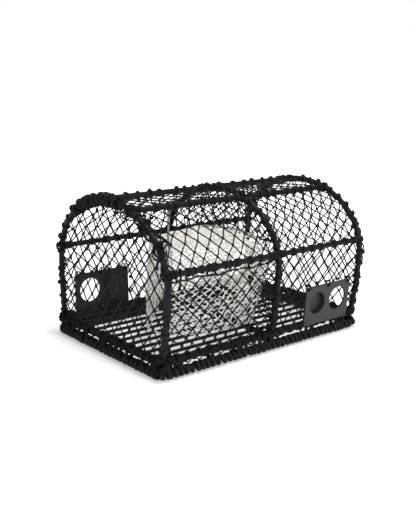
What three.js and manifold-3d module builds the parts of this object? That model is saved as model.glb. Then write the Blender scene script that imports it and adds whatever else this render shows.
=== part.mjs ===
// Two-chamber arched creel: steel rod frame, netting panels, net funnels and a rope-wound bumper.
// Millimetres, +Z up, X along the creel, origin under its middle on the surface it stands on.
import * as THREE from 'three';
import { mergeVertices } from 'three/addons/utils/BufferGeometryUtils.js';
import Module from 'manifold-3d';

const wasm = await Module();
wasm.setup();

// Frame
const leftBay = 328.3;
const rightBay = 291.7;
const frameWidth = 381;
const legBelly = 14;
const bellyHeight = 160;
const crownHeight = 320;
const hoopRadius = 6.8;
const frontMidHeight = 194.5;
const backMidHeight = 177.6;
const topBarShare = 0.3837;
const baseBarRadius = 6.8;
const midBarRadius = 6.4;
const topBarRadius = 6.8;
const slatRadius = 3.8;
const slatLift = 4.6;
const slatCount = 11;
const seat = 0.3;

// Bumper and lashings
const bumperDrop = 26.4;
const bumperOutset = 5.4;
const bumperRadius = 12;
const bumperRope = 8;
const bumperRopeWidth = 9;
const bumperPitch = 22;
const endBumperLoops = 18;
const mostLoops = 24;
const lashingRope = 5.4;
const lashingPitch = 6.2;
const lashingTurns = 1.5;

// Netting
const twine = 3.8;
const selvage = 6;
const doorSag = 14;
const doorColumns = 4;
const doorRows = 3;
const hookWire = 4;
const hookInset = 26;

// Vent plates
const plateLength = 158;
const plateHeight = 98;
const plateFoot = 1;
const plateThickness = 5;
const plateCorner = 6;
const frontPlateInset = 33.5;
const backPlateInset = 39;
const holeLift = 5;
const holeSpacing = 74;
const escapeRadius = 30;
const cupRadius = 31;
const cupDepth = 12;
const cupWall = 3;
const lashHoleRadius = 2.5;
const lashHoleInset = 7;

// Funnels and what holds them
const funnelWall = 2.5;
const funnelSides = 16;
const entrancePower = 0.4;
const funnelFloorGap = 0.4;
const parlourLength = 222;
const ringRadius = 62;
const ringTube = 5;
const ringX = 150;
const ringY = 40;
const ringHeight = 95;
const cornerRopeSlats = 2.43;
const cornerRopeRadius = 5;
const cornerRopeTop = 124;
const knotRadius = 9;
const mouthCordHeight = 222;
const mouthCordRadius = 4;
const strapWidth = 10;
const strapThickness = 2.4;

// Places that follow from the sizes above
const length = leftBay + rightBay;
const halfWidth = frameWidth / 2;
const leftX = -length / 2;
const rightX = length / 2;
const middleX = leftX + leftBay;
const frontPlateCentre = rightX - frontPlateInset - plateLength / 2;
const backPlateCentre = leftX + backPlateInset + plateLength / 2;
const topBarOffset = halfWidth * topBarShare;
const slatPitch = frameWidth / (slatCount + 1);
const cornerRopeY = cornerRopeSlats * slatPitch - halfWidth;
const bumperZ = bumperRadius;
const baseZ = bumperZ + bumperDrop;
const bumperY = halfWidth + bumperOutset;
const bumperX = rightX + bumperOutset;
const archHalf = halfWidth + legBelly;
const archRise = crownHeight - bellyHeight;
const hoopClear = hoopRadius + seat;
const coreRadius = bumperRadius - bumperRope - seat;
const fullTurn = Math.PI * 2;
const hexSides = 6;
const roundSides = 12;
const hoopSides = 8;
const hoopSteps = 36;
const spikeLimit = 1.3;
const twineReach = (twine / 2) * spikeLimit;

function legHalf(height) {
  if (height >= bellyHeight) {
    return archHalf * Math.sqrt(Math.max(0, 1 - ((height - bellyHeight) / archRise) ** 2));
  }
  return halfWidth + legBelly * Math.sin((Math.PI / 2) * (height / bellyHeight));
}

const frontMidY = legHalf(frontMidHeight);
const backMidY = legHalf(backMidHeight);
const topBarHeight = bellyHeight + archRise * Math.sqrt(1 - (topBarOffset / archHalf) ** 2);

// Materials
function paint(color, roughness, metalness = 0) {
  return new THREE.MeshStandardMaterial({ color, roughness, metalness });
}

const rodPaint = paint('#232326', 0.6, 0.2);
const ropePaint = paint('#2b2b2d', 0.9);
const netPaint = paint('#1f1f22', 0.9);
const platePaint = paint('#48484a', 0.6);
const creamPaint = paint('#ebe8e0', 0.85);
const strapPaint = paint('#b9b9b6', 0.8);

const creel = new THREE.Group();

function add(name, geometry, material, parent = creel) {
  const mesh = new THREE.Mesh(geometry, material);
  mesh.name = name;
  parent.add(mesh);
  return mesh;
}

// Geometry from points and triangles, turned so that its faces point out
function solidFrom(points, triangles) {
  const at = (index) => points[index];
  const normal = new THREE.Vector3();
  let volume = 0;
  for (const [a, b, c] of triangles) {
    volume += at(a).dot(normal.crossVectors(at(b), at(c)));
  }
  const turned = volume < 0 ? triangles.map(([a, b, c]) => [a, c, b]) : triangles;
  const geometry = new THREE.BufferGeometry();
  const numbers = points.flatMap((p) => [p.x, p.y, p.z]);
  geometry.setAttribute('position', new THREE.Float32BufferAttribute(numbers, 3));
  geometry.setIndex(turned.flat());
  return geometry;
}

// Rings of equal counts joined side by side, closed at both ends by flat caps
function ringsToTriangles(ringCount, perRing) {
  const triangles = [];
  for (let ring = 0; ring < ringCount - 1; ring += 1) {
    for (let side = 0; side < perRing; side += 1) {
      const next = (side + 1) % perRing;
      const a = ring * perRing + side;
      const b = ring * perRing + next;
      triangles.push([a, b, b + perRing], [a, b + perRing, a + perRing]);
    }
  }
  const last = (ringCount - 1) * perRing;
  for (let side = 1; side < perRing - 1; side += 1) {
    triangles.push([0, side + 1, side], [last, last + side, last + side + 1]);
  }
  return triangles;
}

function rodBetween(from, to, radius, sides = roundSides) {
  const span = new THREE.Vector3().subVectors(to, from);
  const geometry = new THREE.CylinderGeometry(radius, radius, span.length(), sides);
  const upright = new THREE.Vector3(0, 1, 0);
  geometry.applyQuaternion(new THREE.Quaternion().setFromUnitVectors(upright, span.clone().normalize()));
  const centre = new THREE.Vector3().addVectors(from, to).multiplyScalar(0.5);
  return geometry.translate(centre.x, centre.y, centre.z);
}

function barAlongX(x0, x1, y, z, radius) {
  return rodBetween(new THREE.Vector3(x0, y, z), new THREE.Vector3(x1, y, z), radius);
}

function barAlongY(x, y0, y1, z, radius) {
  return rodBetween(new THREE.Vector3(x, y0, z), new THREE.Vector3(x, y1, z), radius);
}

// Hoop: straight-footed legs that swell into a half ellipse
class HoopCurve extends THREE.Curve {
  constructor(foot) {
    super();
    this.foot = foot;
    this.legShare = 0.25;
  }

  getPoint(t, target = new THREE.Vector3()) {
    const side = t < 0.5 ? -1 : 1;
    const along = Math.min(t, 1 - t);
    if (along < this.legShare) {
      const height = this.foot + (bellyHeight - this.foot) * (along / this.legShare);
      return target.set(0, side * legHalf(height), height);
    }
    const angle = (Math.PI / 2) * ((along - this.legShare) / (0.5 - this.legShare));
    return target.set(0, side * archHalf * Math.cos(angle), bellyHeight + archRise * Math.sin(angle));
  }
}

function hoopGeometry() {
  const footTilt = Math.atan((legBelly * Math.PI) / 2 / bellyHeight);
  const foot = baseBarRadius + seat + hoopRadius * Math.sin(footTilt);
  const section = new THREE.Shape();
  for (let side = 0; side < hoopSides; side += 1) {
    const angle = (fullTurn * side) / hoopSides;
    const x = hoopRadius * Math.cos(angle);
    const y = hoopRadius * Math.sin(angle);
    if (side === 0) {
      section.moveTo(x, y);
    } else {
      section.lineTo(x, y);
    }
  }
  section.closePath();
  const extrudePath = new HoopCurve(foot);
  return new THREE.ExtrudeGeometry(section, { steps: hoopSteps, extrudePath, bevelEnabled: false });
}

function buildFrame() {
  for (const [name, x] of [['hoop_left', leftX], ['hoop_middle', middleX], ['hoop_right', rightX]]) {
    add(name, hoopGeometry(), rodPaint).position.set(x, 0, baseZ);
  }
  const reach = rightX + hoopRadius;
  add('base_bar_front', barAlongX(-reach, reach, -halfWidth, baseZ, baseBarRadius), rodPaint);
  add('base_bar_back', barAlongX(-reach, reach, halfWidth, baseZ, baseBarRadius), rodPaint);
  const crossEnd = halfWidth - baseBarRadius - seat;
  const middleDrop = baseBarRadius + seat + slatRadius - slatLift;
  add('cross_bar_left', barAlongY(leftX, -crossEnd, crossEnd, baseZ, baseBarRadius), rodPaint);
  const middleZ = baseZ - middleDrop;
  add('cross_bar_middle', barAlongY(middleX, -crossEnd, crossEnd, middleZ, baseBarRadius), rodPaint);
  add('cross_bar_right', barAlongY(rightX, -crossEnd, crossEnd, baseZ, baseBarRadius), rodPaint);
  const bars = [
    ['mid_bar_front', -frontMidY, frontMidHeight, midBarRadius],
    ['mid_bar_back', backMidY, backMidHeight, midBarRadius],
    ['top_bar_front', -topBarOffset, topBarHeight, topBarRadius],
    ['top_bar_back', topBarOffset, topBarHeight, topBarRadius],
  ];
  for (const [name, y, height, radius] of bars) {
    const z = baseZ + height;
    add(`${name}_left`, barAlongX(leftX + hoopClear, middleX - hoopClear, y, z, radius), rodPaint);
    add(`${name}_right`, barAlongX(middleX + hoopClear, rightX - hoopClear, y, z, radius), rodPaint);
  }
  const slatReach = rightX - hoopRadius - seat;
  for (let slat = 1; slat <= slatCount; slat += 1) {
    const y = slatPitch * slat - halfWidth;
    const label = String(slat).padStart(2, '0');
    add(`floor_slat_${label}`, barAlongX(-slatReach, slatReach, y, baseZ + slatLift, slatRadius), rodPaint);
  }
}

// Rope wound round a core: a polygon of flat-sided loops, with straight square ends
// loop holds the polygon's corners in the plane across the core, and the rope's inner face lies on it
function windingGeometry(name, loop, turns, run, rope, width) {
  const corners = loop.length;
  const outward = loop.map((corner, index) => {
    const before = loop[(index + corners - 1) % corners];
    const after = loop[(index + 1) % corners];
    const n1 = new THREE.Vector2(corner.y - before.y, before.x - corner.x).normalize();
    const n2 = new THREE.Vector2(after.y - corner.y, corner.x - after.x).normalize();
    return n1.clone().add(n2).divideScalar(1 + n1.dot(n2));
  });
  const section = [[rope, -width / 4], [rope, width / 4], [0, width / 2], [0, -width / 2]];
  const steps = Math.round(turns * corners);
  const rise = run / (steps + 2);
  const points = [];
  const ring = (centre, direction, along) => {
    for (const [out, wide] of section) {
      const across = centre.clone().addScaledVector(direction, out);
      points.push(new THREE.Vector3(along + wide, across.x, across.y));
    }
  };
  const squareEnd = (from, to, along) => {
    const run = new THREE.Vector2().subVectors(to, from).normalize();
    const direction = new THREE.Vector2(-run.y, run.x);
    const end = from.clone().addScaledVector(run, -rope);
    const inside = direction.dot(from) < 0 ? direction.negate() : direction;
    ring(end, inside, along);
  };
  squareEnd(loop[0], loop[1], -rise);
  for (let step = 0; step <= steps; step += 1) {
    ring(loop[step % corners], outward[step % corners], step * rise);
  }
  const lastCorner = steps % corners;
  squareEnd(loop[lastCorner], loop[(lastCorner + corners - 1) % corners], (steps + 1) * rise);
  const centred = points.map((p) => p.setX(p.x - (steps * rise) / 2));
  const perRing = section.length;
  const turnPoints = corners * perRing;
  let least = Infinity;
  for (let i = 0; i < centred.length; i += 1) {
    for (let j = i + turnPoints - 2 * perRing; j < Math.min(centred.length, i + 2 * turnPoints); j += 1) {
      least = Math.min(least, centred[i].distanceTo(centred[j]));
    }
  }
  console.log(`${name}: ${turns.toFixed(1)} turns, least gap to itself ${least.toFixed(2)} mm`);
  return solidFrom(centred, ringsToTriangles(centred.length / perRing, perRing));
}

// Six corners round a core, with flat sides above and below, turning from the inner top corner
function bumperLoop() {
  const inner = (bumperRadius - bumperRope) / Math.cos(Math.PI / hexSides);
  return Array.from({ length: hexSides }, (unused, index) => {
    const angle = Math.PI / 3 + (fullTurn * index) / hexSides;
    return new THREE.Vector2(inner * Math.cos(angle), inner * Math.sin(angle));
  });
}

const windingReach = bumperRadius / Math.cos(Math.PI / hexSides);
const lashingCorners = 9;
const lashingWidth = (lashingTurns + 2 / lashingCorners) * lashingPitch + lashingRope;
const sideStart = -bumperX + windingReach + seat;

function buildBumper() {
  // Each side core passes between two loops of an end winding, so their pitch fits the cores' spacing
  const endRun = ((2 * bumperY) / (endBumperLoops - 1)) * endBumperLoops;
  const coreEnd = (endRun + bumperRopeWidth) / 2;
  for (const [name, x] of [['bumper_core_left', -bumperX], ['bumper_core_right', bumperX]]) {
    add(name, barAlongY(x, -coreEnd, coreEnd, bumperZ, coreRadius), rodPaint);
  }
  const sideCore = bumperX - coreRadius - seat;
  for (const [name, y] of [['bumper_core_front', -bumperY], ['bumper_core_back', bumperY]]) {
    add(name, barAlongX(-sideCore, sideCore, y, bumperZ, coreRadius), rodPaint);
  }
  const sideRun = 2 * (-sideStart - lashingWidth - seat) - bumperRopeWidth;
  const tailShare = 2 / hexSides;
  const sideLoops = Math.min(mostLoops, Math.round(sideRun / bumperPitch)) - tailShare;
  const endLoops = endBumperLoops - tailShare;
  const wind = (name, loops, run) => {
    return windingGeometry(name, bumperLoop(), loops, run, bumperRope, bumperRopeWidth);
  };
  const side = wind('side winding', sideLoops, sideRun);
  const end = wind('end winding', endLoops, endRun);
  add('bumper_winding_front', side, ropePaint).position.set(0, -bumperY, bumperZ);
  const back = add('bumper_winding_back', side, ropePaint);
  back.position.set(0, bumperY, bumperZ);
  back.rotation.z = Math.PI;
  const left = add('bumper_winding_left', end, ropePaint);
  left.position.set(-bumperX, 0, bumperZ);
  left.rotation.z = -Math.PI / 2;
  const right = add('bumper_winding_right', end, ropePaint);
  right.position.set(bumperX, 0, bumperZ);
  right.rotation.z = Math.PI / 2;
}

// Corner lashing: rope round the base bar and the bumper's core, a loop like a belt on two pulleys
function buildLashings() {
  const bend = Math.PI / 4;
  const around = (radius) => (radius + seat) / Math.cos(bend / 2);
  const lean = Math.atan2(bumperOutset, bumperDrop);
  const loop = [];
  const arc = (corners, radius, y, z, start) => {
    for (let corner = 0; corner < corners; corner += 1) {
      const angle = start - lean + bend * corner;
      loop.push(new THREE.Vector2(y + radius * Math.cos(angle), z + radius * Math.sin(angle)));
    }
  };
  const overBar = 5;
  arc(overBar, around(baseBarRadius), 0, 0, 0);
  arc(lashingCorners - overBar, around(coreRadius), -bumperOutset, -bumperDrop, Math.PI + bend / 2);
  const run = lashingWidth - lashingRope;
  const geometry = windingGeometry('lashing', loop, lashingTurns, run, lashingRope, lashingRope);
  const x = -sideStart - seat - lashingWidth / 2;
  for (const [name, side, front] of [
    ['corner_lashing_front_left', -1, true],
    ['corner_lashing_front_right', 1, true],
    ['corner_lashing_back_left', -1, false],
    ['corner_lashing_back_right', 1, false],
  ]) {
    const mesh = add(name, geometry, ropePaint);
    mesh.position.set(side * x, front ? -halfWidth : halfWidth, baseZ);
    mesh.rotation.z = front ? 0 : Math.PI;
  }
}

// Diamond netting: knots on a staggered grid, each strand running to the next half row
function lattice(columns, rows, keep = () => true) {
  const nodes = [];
  const index = new Map();
  for (let row = 0; row <= 2 * rows; row += 1) {
    const odd = row % 2 === 1;
    for (let column = 0; column < columns + (odd ? 1 : 0); column += 1) {
      const u = (column + (odd ? 0 : 0.5)) / columns;
      const v = row / (2 * rows);
      if (keep(u, v)) {
        index.set(`${row}:${column}`, nodes.length);
        nodes.push([u, v]);
      }
    }
  }
  const strands = [];
  for (const [key, from] of index) {
    const [row, column] = key.split(':').map(Number);
    const above = row % 2 === 1 ? [column - 1, column] : [column, column + 1];
    for (const next of above) {
      const to = index.get(`${row + 1}:${next}`);
      if (to !== undefined) {
        strands.push([from, to]);
      }
    }
  }
  return { nodes, strands, index };
}

// Flat net of the given knots and strands, its twine as thick as it is wide
function netGeometry(knots, strands, width) {
  const half = width / 2;
  const links = knots.map(() => []);
  strands.forEach(([a, b]) => {
    links[a].push(b);
    links[b].push(a);
  });
  const points = [];
  const triangles = [];
  const corner = knots.map(() => new Map());
  knots.forEach((knot, at) => {
    const bearing = (to) => Math.atan2(knots[to].y - knot.y, knots[to].x - knot.x);
    links[at].sort((a, b) => bearing(a) - bearing(b));
    const count = links[at].length;
    links[at].forEach((to, position) => {
      const next = links[at][(position + 1) % count];
      let sweep = bearing(next) - bearing(to);
      sweep = sweep <= 0 ? sweep + fullTurn : sweep;
      const reach = half * Math.min(1 / Math.sin(sweep / 2), sweep > Math.PI ? spikeLimit : Infinity);
      const angle = bearing(to) + sweep / 2;
      const x = knot.x + reach * Math.cos(angle);
      const y = knot.y + reach * Math.sin(angle);
      corner[at].set(to, points.length);
      points.push(new THREE.Vector3(x, y, half), new THREE.Vector3(x, y, -half));
    });
    const ring = links[at].map((to) => corner[at].get(to));
    for (let side = 1; side < ring.length - 1; side += 1) {
      triangles.push([ring[0], ring[side], ring[side + 1]]);
      triangles.push([ring[0] + 1, ring[side + 1] + 1, ring[side] + 1]);
    }
  });
  const cornersOf = (from, to) => {
    const position = links[from].indexOf(to);
    const before = links[from][(position + links[from].length - 1) % links[from].length];
    return [corner[from].get(before), corner[from].get(to)];
  };
  strands.forEach(([a, b]) => {
    const [aRight, aLeft] = cornersOf(a, b);
    const [bRight, bLeft] = cornersOf(b, a);
    triangles.push([aRight, bLeft, bRight], [aRight, bRight, aLeft]);
    triangles.push([aRight + 1, bRight + 1, bLeft + 1], [aRight + 1, aLeft + 1, bRight + 1]);
    for (const [from, to] of [[aRight, bLeft], [bRight, aLeft]]) {
      triangles.push([from, from + 1, to + 1], [from, to + 1, to]);
    }
  });
  return solidFrom(points, triangles);
}

// A face between two bars that run along X: local X along the creel, Y up the face, Z out of it
function faceBetween(side, low, high, lowRadius, highRadius) {
  const turn = new THREE.Group();
  turn.rotation.z = side === 'back' ? Math.PI : 0;
  creel.add(turn);
  const face = new THREE.Group();
  face.position.set(0, -low.y, baseZ + low.height);
  const rise = new THREE.Vector2(low.y - high.y, high.height - low.height);
  face.rotation.x = Math.atan2(rise.y, rise.x);
  turn.add(face);
  const bottom = lowRadius + seat;
  const top = rise.length() - highRadius - seat;
  return { face, bottom, top, flip: side === 'back' ? -1 : 1 };
}

function addNet(name, place, x0, x1, columns, rows, keep, shape = (u, v) => v) {
  const { face, bottom, top, flip } = place;
  const net = lattice(columns, rows, keep);
  const [low, high] = flip < 0 ? [-x1, -x0] : [x0, x1];
  const knots = net.nodes.map(([u, v]) => new THREE.Vector2(
    low + twineReach + (high - low - 2 * twineReach) * u,
    bottom + twineReach + (top - bottom - 2 * twineReach) * shape(u, v),
  ));
  return add(name, netGeometry(knots, net.strands, twine), netPaint, face);
}

const baseLine = { y: halfWidth, height: 0 };
const frontMidLine = { y: frontMidY, height: frontMidHeight };
const backMidLine = { y: backMidY, height: backMidHeight };
const topLine = { y: topBarOffset, height: topBarHeight };
const leftSpan = [leftX + hoopClear, middleX - hoopClear];
const rightSpan = [middleX + hoopClear, rightX - hoopClear];

function buildUpperNets() {
  const front = faceBetween('front', frontMidLine, topLine, midBarRadius, topBarRadius);
  const back = faceBetween('back', backMidLine, topLine, midBarRadius, topBarRadius);
  const farLine = { y: -topLine.y, height: topLine.height };
  const top = faceBetween('front', topLine, farLine, topBarRadius, topBarRadius);
  for (const [name, [x0, x1]] of [['left', leftSpan], ['right', rightSpan]]) {
    addNet(`net_front_upper_${name}`, front, x0, x1, 4, 2);
    addNet(`net_back_upper_${name}`, back, x0, x1, 4, 2);
    addNet(`net_top_${name}`, top, x0, x1, 4, 2);
  }
}

// Half rows of a net with a vent plate under its middle knots
function overPlate(place) {
  const split = (plateFoot + plateHeight + 2 * twine - place.bottom) / (place.top - place.bottom);
  return (u, v) => (v <= 0.5 ? split * (v / 0.5) : split + (1 - split) * ((v - 0.5) / 0.5));
}

// Knots that stay: all those above the plate, and below its top only those between it and the middle hoop
function besidePlate(span, plateCentre) {
  const nearEdge = Math.abs(plateCentre - span) - plateLength / 2 - 2 * twine;
  return (width) => (u, v) => v >= 0.5 || u * width < nearEdge;
}

function buildLowerNets(frontFace, backFace) {
  const bay = (span) => span[1] - span[0];
  const keepFront = besidePlate(rightSpan[0], frontPlateCentre)(bay(rightSpan));
  const keepBack = besidePlate(leftSpan[1], backPlateCentre)(bay(leftSpan));
  addNet('net_front_lower_right', frontFace, ...rightSpan, 4, 2, keepFront, overPlate(frontFace));
  addNet('net_back_lower_left', backFace, ...leftSpan, 4, 2, keepBack, overPlate(backFace));
}

// Door: a net panel hitched along the base bar, with side cords and a sagging selvage, and its hook
function buildDoor(place) {
  const [x0, x1] = leftSpan;
  const net = lattice(doorColumns, doorRows);
  const knots = net.nodes.map(([u, v]) => new THREE.Vector2(
    x0 + twineReach + (x1 - x0 - 2 * twineReach) * u,
    place.bottom + twineReach + (place.top - place.bottom - 2 * twineReach) * v,
  ));
  const topRow = 2 * doorRows;
  const at = (row, column) => net.index.get(`${row}:${column}`);
  for (let column = 0; column < doorColumns; column += 1) {
    knots[at(topRow, column)].y -= doorSag * Math.sin((Math.PI * (column + 0.5)) / doorColumns);
  }
  for (let row = 1; row < topRow - 1; row += 2) {
    net.strands.push([at(row, 0), at(row + 2, 0)], [at(row, doorColumns), at(row + 2, doorColumns)]);
  }
  for (let column = 1; column < doorColumns; column += 1) {
    net.strands.push([at(topRow, column - 1), at(topRow, column)]);
  }
  for (const [column, x] of [[0, x0 + twineReach], [doorColumns, x1 - twineReach]]) {
    knots.push(new THREE.Vector2(x, place.top - twineReach));
    const end = knots.length - 1;
    net.strands.push([at(topRow - 1, column), end]);
    net.strands.push([end, at(topRow, Math.min(column, doorColumns - 1))]);
  }
  add('door_net', netGeometry(knots, net.strands, twine), netPaint, place.face);

  const hook = new THREE.Shape();
  const barTop = place.top + seat + 2 * midBarRadius;
  const barMiddle = place.top + seat + midBarRadius;
  const reach = midBarRadius + 2 * seat;
  const outer = reach + selvage / 2;
  hook.moveTo(selvage / 2, place.top - 2 * doorSag);
  hook.lineTo(outer, place.top - 2 * doorSag);
  hook.lineTo(outer, barTop);
  hook.lineTo(reach, barTop + selvage);
  hook.lineTo(0, barTop + selvage);
  hook.lineTo(0, barTop + 4 * seat);
  hook.lineTo(reach / 2, barTop + 4 * seat);
  hook.lineTo(reach, barMiddle + midBarRadius / 2);
  hook.lineTo(reach, place.top - doorSag);
  hook.lineTo(selvage / 2, place.top - 2 * doorSag + selvage / 2);
  hook.closePath();
  const geometry = new THREE.ExtrudeGeometry(hook, { depth: hookWire, bevelEnabled: false });
  geometry.rotateY(-Math.PI / 2);
  geometry.translate(x0 + hookInset, 0, 0);
  add('door_hook', geometry, rodPaint, place.face);
}

// Vent plate with an escape hole, a blanked cup that stands in from it, and lashing holes
function solidOf(geometry) {
  const bare = geometry.clone();
  bare.deleteAttribute('normal');
  bare.deleteAttribute('uv');
  const merged = mergeVertices(bare);
  const vertProperties = new Float32Array(merged.attributes.position.array);
  const triVerts = new Uint32Array(merged.index.array);
  return new wasm.Manifold(new wasm.Mesh({ numProp: 3, vertProperties, triVerts }));
}

function geometryOf(solid) {
  const { vertProperties, triVerts } = solid.getMesh();
  const geometry = new THREE.BufferGeometry();
  geometry.setAttribute('position', new THREE.BufferAttribute(new Float32Array(vertProperties), 3));
  geometry.setIndex(new THREE.BufferAttribute(new Uint32Array(triVerts), 1));
  return geometry;
}

// Post whose axis points out of the plate, from depth z0 to z1
function post(radius, sides, x, y, z0, z1) {
  const geometry = new THREE.CylinderGeometry(radius, radius, z1 - z0, sides);
  geometry.rotateX(Math.PI / 2).translate(x, y, (z0 + z1) / 2);
  return solidOf(geometry);
}

function plateGeometry() {
  const w = plateLength / 2;
  const h = plateHeight / 2;
  const c = plateCorner;
  const outline = new THREE.Shape();
  outline.moveTo(-w + c, -h);
  outline.lineTo(w - c, -h);
  outline.absarc(w - c, -h + c, c, -Math.PI / 2, 0, false);
  outline.absarc(w - c, h - c, c, 0, Math.PI / 2, false);
  outline.absarc(-w + c, h - c, c, Math.PI / 2, Math.PI, false);
  outline.absarc(-w + c, -h + c, c, Math.PI, 1.5 * Math.PI, false);
  const back = -plateThickness / 2;
  const front = plateThickness / 2;
  const depth = plateThickness;
  const sheet = new THREE.ExtrudeGeometry(outline, { depth, bevelEnabled: false, curveSegments: 3 });
  sheet.translate(0, 0, back);
  const holeX = holeSpacing / 2;
  const round = 24;
  const cupFloor = back - cupDepth + cupWall;
  let plate = solidOf(sheet).add(post(cupRadius, round, -holeX, holeLift, back - cupDepth, front));
  plate = plate.subtract(post(cupRadius - cupWall, round, -holeX, holeLift, cupFloor, front + seat));
  plate = plate.subtract(post(escapeRadius, round, holeX, holeLift, back - seat, front + seat));
  for (const x of [-w + lashHoleInset, 0, w - lashHoleInset]) {
    for (const y of [-h + lashHoleInset, h - lashHoleInset]) {
      plate = plate.subtract(post(lashHoleRadius, 6, x, y, back - seat, front + seat));
    }
  }
  return geometryOf(plate);
}

// The plates hang outside the base bars
function buildPlates(frontFace, backFace) {
  const height = plateFoot + plateHeight / 2;
  const outset = baseBarRadius + seat + plateThickness / 2;
  const front = add('vent_plate_front', plateGeometry(), platePaint, frontFace.face);
  front.position.set(frontPlateCentre, height, outset);
  const back = add('vent_plate_back', plateGeometry(), platePaint, backFace.face);
  back.position.set(-backPlateCentre, height, outset);
}

// Netting in the hoop planes: local X along Y, local Y up, local Z along X
function hoopPlane(x) {
  const plane = new THREE.Group();
  const basis = new THREE.Matrix4().makeBasis(
    new THREE.Vector3(0, 1, 0),
    new THREE.Vector3(0, 0, 1),
    new THREE.Vector3(1, 0, 0),
  );
  plane.quaternion.setFromRotationMatrix(basis);
  plane.position.set(x, 0, baseZ);
  creel.add(plane);
  return plane;
}

function buildEndNets() {
  const clear = hoopClear + twineReach;
  const foot = baseBarRadius + seat + twineReach;
  const net = lattice(5, 3);
  const knots = net.nodes.map(([u, v]) => {
    const side = 2 * u - 1;
    const top = bellyHeight + (archRise - clear) * Math.sqrt(1 - side * side);
    const height = foot + v * (top - foot);
    const half = height < bellyHeight ? legHalf(height) - clear : archHalf - clear;
    return new THREE.Vector2(side * half, height);
  });
  for (const [name, x] of [['net_end_left', leftX], ['net_end_right', rightX]]) {
    add(name, netGeometry(knots, net.strands, twine), netPaint, hoopPlane(x));
  }
}

function buildPartition() {
  const clear = hoopClear + twineReach;
  const foot = mouthCordHeight + mouthCordRadius + seat + twineReach;
  const archTop = crownHeight - clear;
  const above = legHalf(mouthCordHeight + mouthCordRadius);
  const lean = (legHalf(mouthCordHeight - mouthCordRadius) - above) / (2 * mouthCordRadius);
  const cordHalf = above - (hoopClear + seat) * Math.hypot(1, lean);
  const net = lattice(4, 1);
  const knots = net.nodes.map(([u, v]) => {
    const side = 2 * u - 1;
    const height = foot + (archTop - foot) * v * Math.cos((Math.PI / 2) * side * side * v);
    return new THREE.Vector2(side * (legHalf(height) - clear - twine), height);
  });
  add('net_partition', netGeometry(knots, net.strands, twine), netPaint, hoopPlane(middleX));
  const z = baseZ + mouthCordHeight;
  add('mouth_cord', barAlongY(middleX, -cordHalf, cordHalf, z, mouthCordRadius), ropePaint);
}

// Rope up from the middle cross bar with its knot at the top, at the corner of the funnel's mouth
function buildCornerRope() {
  const foot = baseZ - (baseBarRadius + seat + slatRadius - slatLift) + baseBarRadius + seat;
  const top = baseZ + cornerRopeTop;
  const profile = [new THREE.Vector2(0, foot), new THREE.Vector2(cornerRopeRadius, foot)];
  const steps = 5;
  const sweep = Math.PI - Math.asin(cornerRopeRadius / knotRadius);
  for (let step = 0; step < steps; step += 1) {
    const angle = sweep * (1 - step / steps);
    profile.push(new THREE.Vector2(knotRadius * Math.sin(angle), top + knotRadius * Math.cos(angle)));
  }
  profile.push(new THREE.Vector2(0, top + knotRadius));
  const rope = new THREE.LatheGeometry(profile, roundSides);
  rope.rotateX(Math.PI / 2);
  add('mouth_corner_rope', rope, ropePaint).position.set(middleX, cornerRopeY, 0);
}

// Open funnel of netting: outer outlines at stations along it, and the same drawn in by the wall
function funnelGeometry(stations) {
  const perRing = stations[0].length;
  const count = stations.length;
  const points = [];
  for (const outline of stations) {
    points.push(...outline);
  }
  for (const outline of stations) {
    const centre = outline.reduce((sum, p) => sum.add(p), new THREE.Vector3()).divideScalar(perRing);
    for (const p of outline) {
      const inward = new THREE.Vector3().subVectors(centre, p);
      points.push(p.clone().addScaledVector(inward.normalize(), funnelWall));
    }
  }
  const inner = count * perRing;
  const triangles = [];
  const quad = (a, b, c, d) => triangles.push([a, b, c], [a, c, d]);
  for (let side = 0; side < perRing; side += 1) {
    const next = (side + 1) % perRing;
    for (let ring = 0; ring < count - 1; ring += 1) {
      const a = ring * perRing;
      const b = a + perRing;
      quad(a + side, a + next, b + next, b + side);
      quad(inner + a + next, inner + a + side, inner + b + side, inner + b + next);
    }
    const end = (count - 1) * perRing;
    quad(inner + side, inner + next, next, side);
    quad(end + side, end + next, inner + end + next, inner + end + side);
  }
  return solidFrom(points, triangles);
}

// Corner-rounded unit outline, as across and up shares from -1 to 1
function roundedUnit(count, power) {
  const reach = Math.cos(Math.PI / count);
  return Array.from({ length: count }, (unused, index) => {
    const angle = (fullTurn * (index + 0.5)) / count;
    const c = Math.cos(angle) / reach;
    const s = Math.sin(angle) / reach;
    return [Math.sign(c) * Math.abs(c) ** power, Math.sign(s) * Math.abs(s) ** power];
  });
}

const floorTop = slatLift + slatRadius + funnelFloorGap;

// Stations of the parlour funnel: along its length, and across and up as shares of the chamber
const parlourShares = [
  { along: 0, power: 0.28, frontFloor: -0.56, frontTop: -0.94, backFloor: 0.92, backTop: 0.93, top: 0.675 },
  { along: 0.26, power: 0.32, frontFloor: -0.72, frontTop: -0.86, backFloor: 0.78, backTop: 0.8, top: 0.665 },
  { along: 0.52, power: 0.38, frontFloor: -0.72, frontTop: -0.74, backFloor: 0.56, backTop: 0.5, top: 0.665 },
  { along: 0.78, power: 0.44, frontFloor: -0.62, frontTop: -0.58, backFloor: 0.28, backTop: 0.22, top: 0.68 },
  { along: 1, power: 0.5, frontFloor: -0.46, frontTop: -0.46, backFloor: 0.06, backTop: 0.07, top: 0.7 },
];

function parlourOutline({ along, power, frontFloor, frontTop, backFloor, backTop, top }) {
  const x = middleX - hoopClear - along * parlourLength;
  return roundedUnit(funnelSides, power).map(([across, up]) => {
    const rise = (up + 1) / 2;
    const blend = rise * rise * (3 - 2 * rise);
    const front = frontFloor + (frontTop - frontFloor) * blend;
    const back = backFloor + (backTop - backFloor) * blend;
    const y = halfWidth * (front + ((back - front) * (across + 1)) / 2);
    return new THREE.Vector3(x, y, baseZ + floorTop + (crownHeight * top - floorTop) * rise);
  });
}

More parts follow.
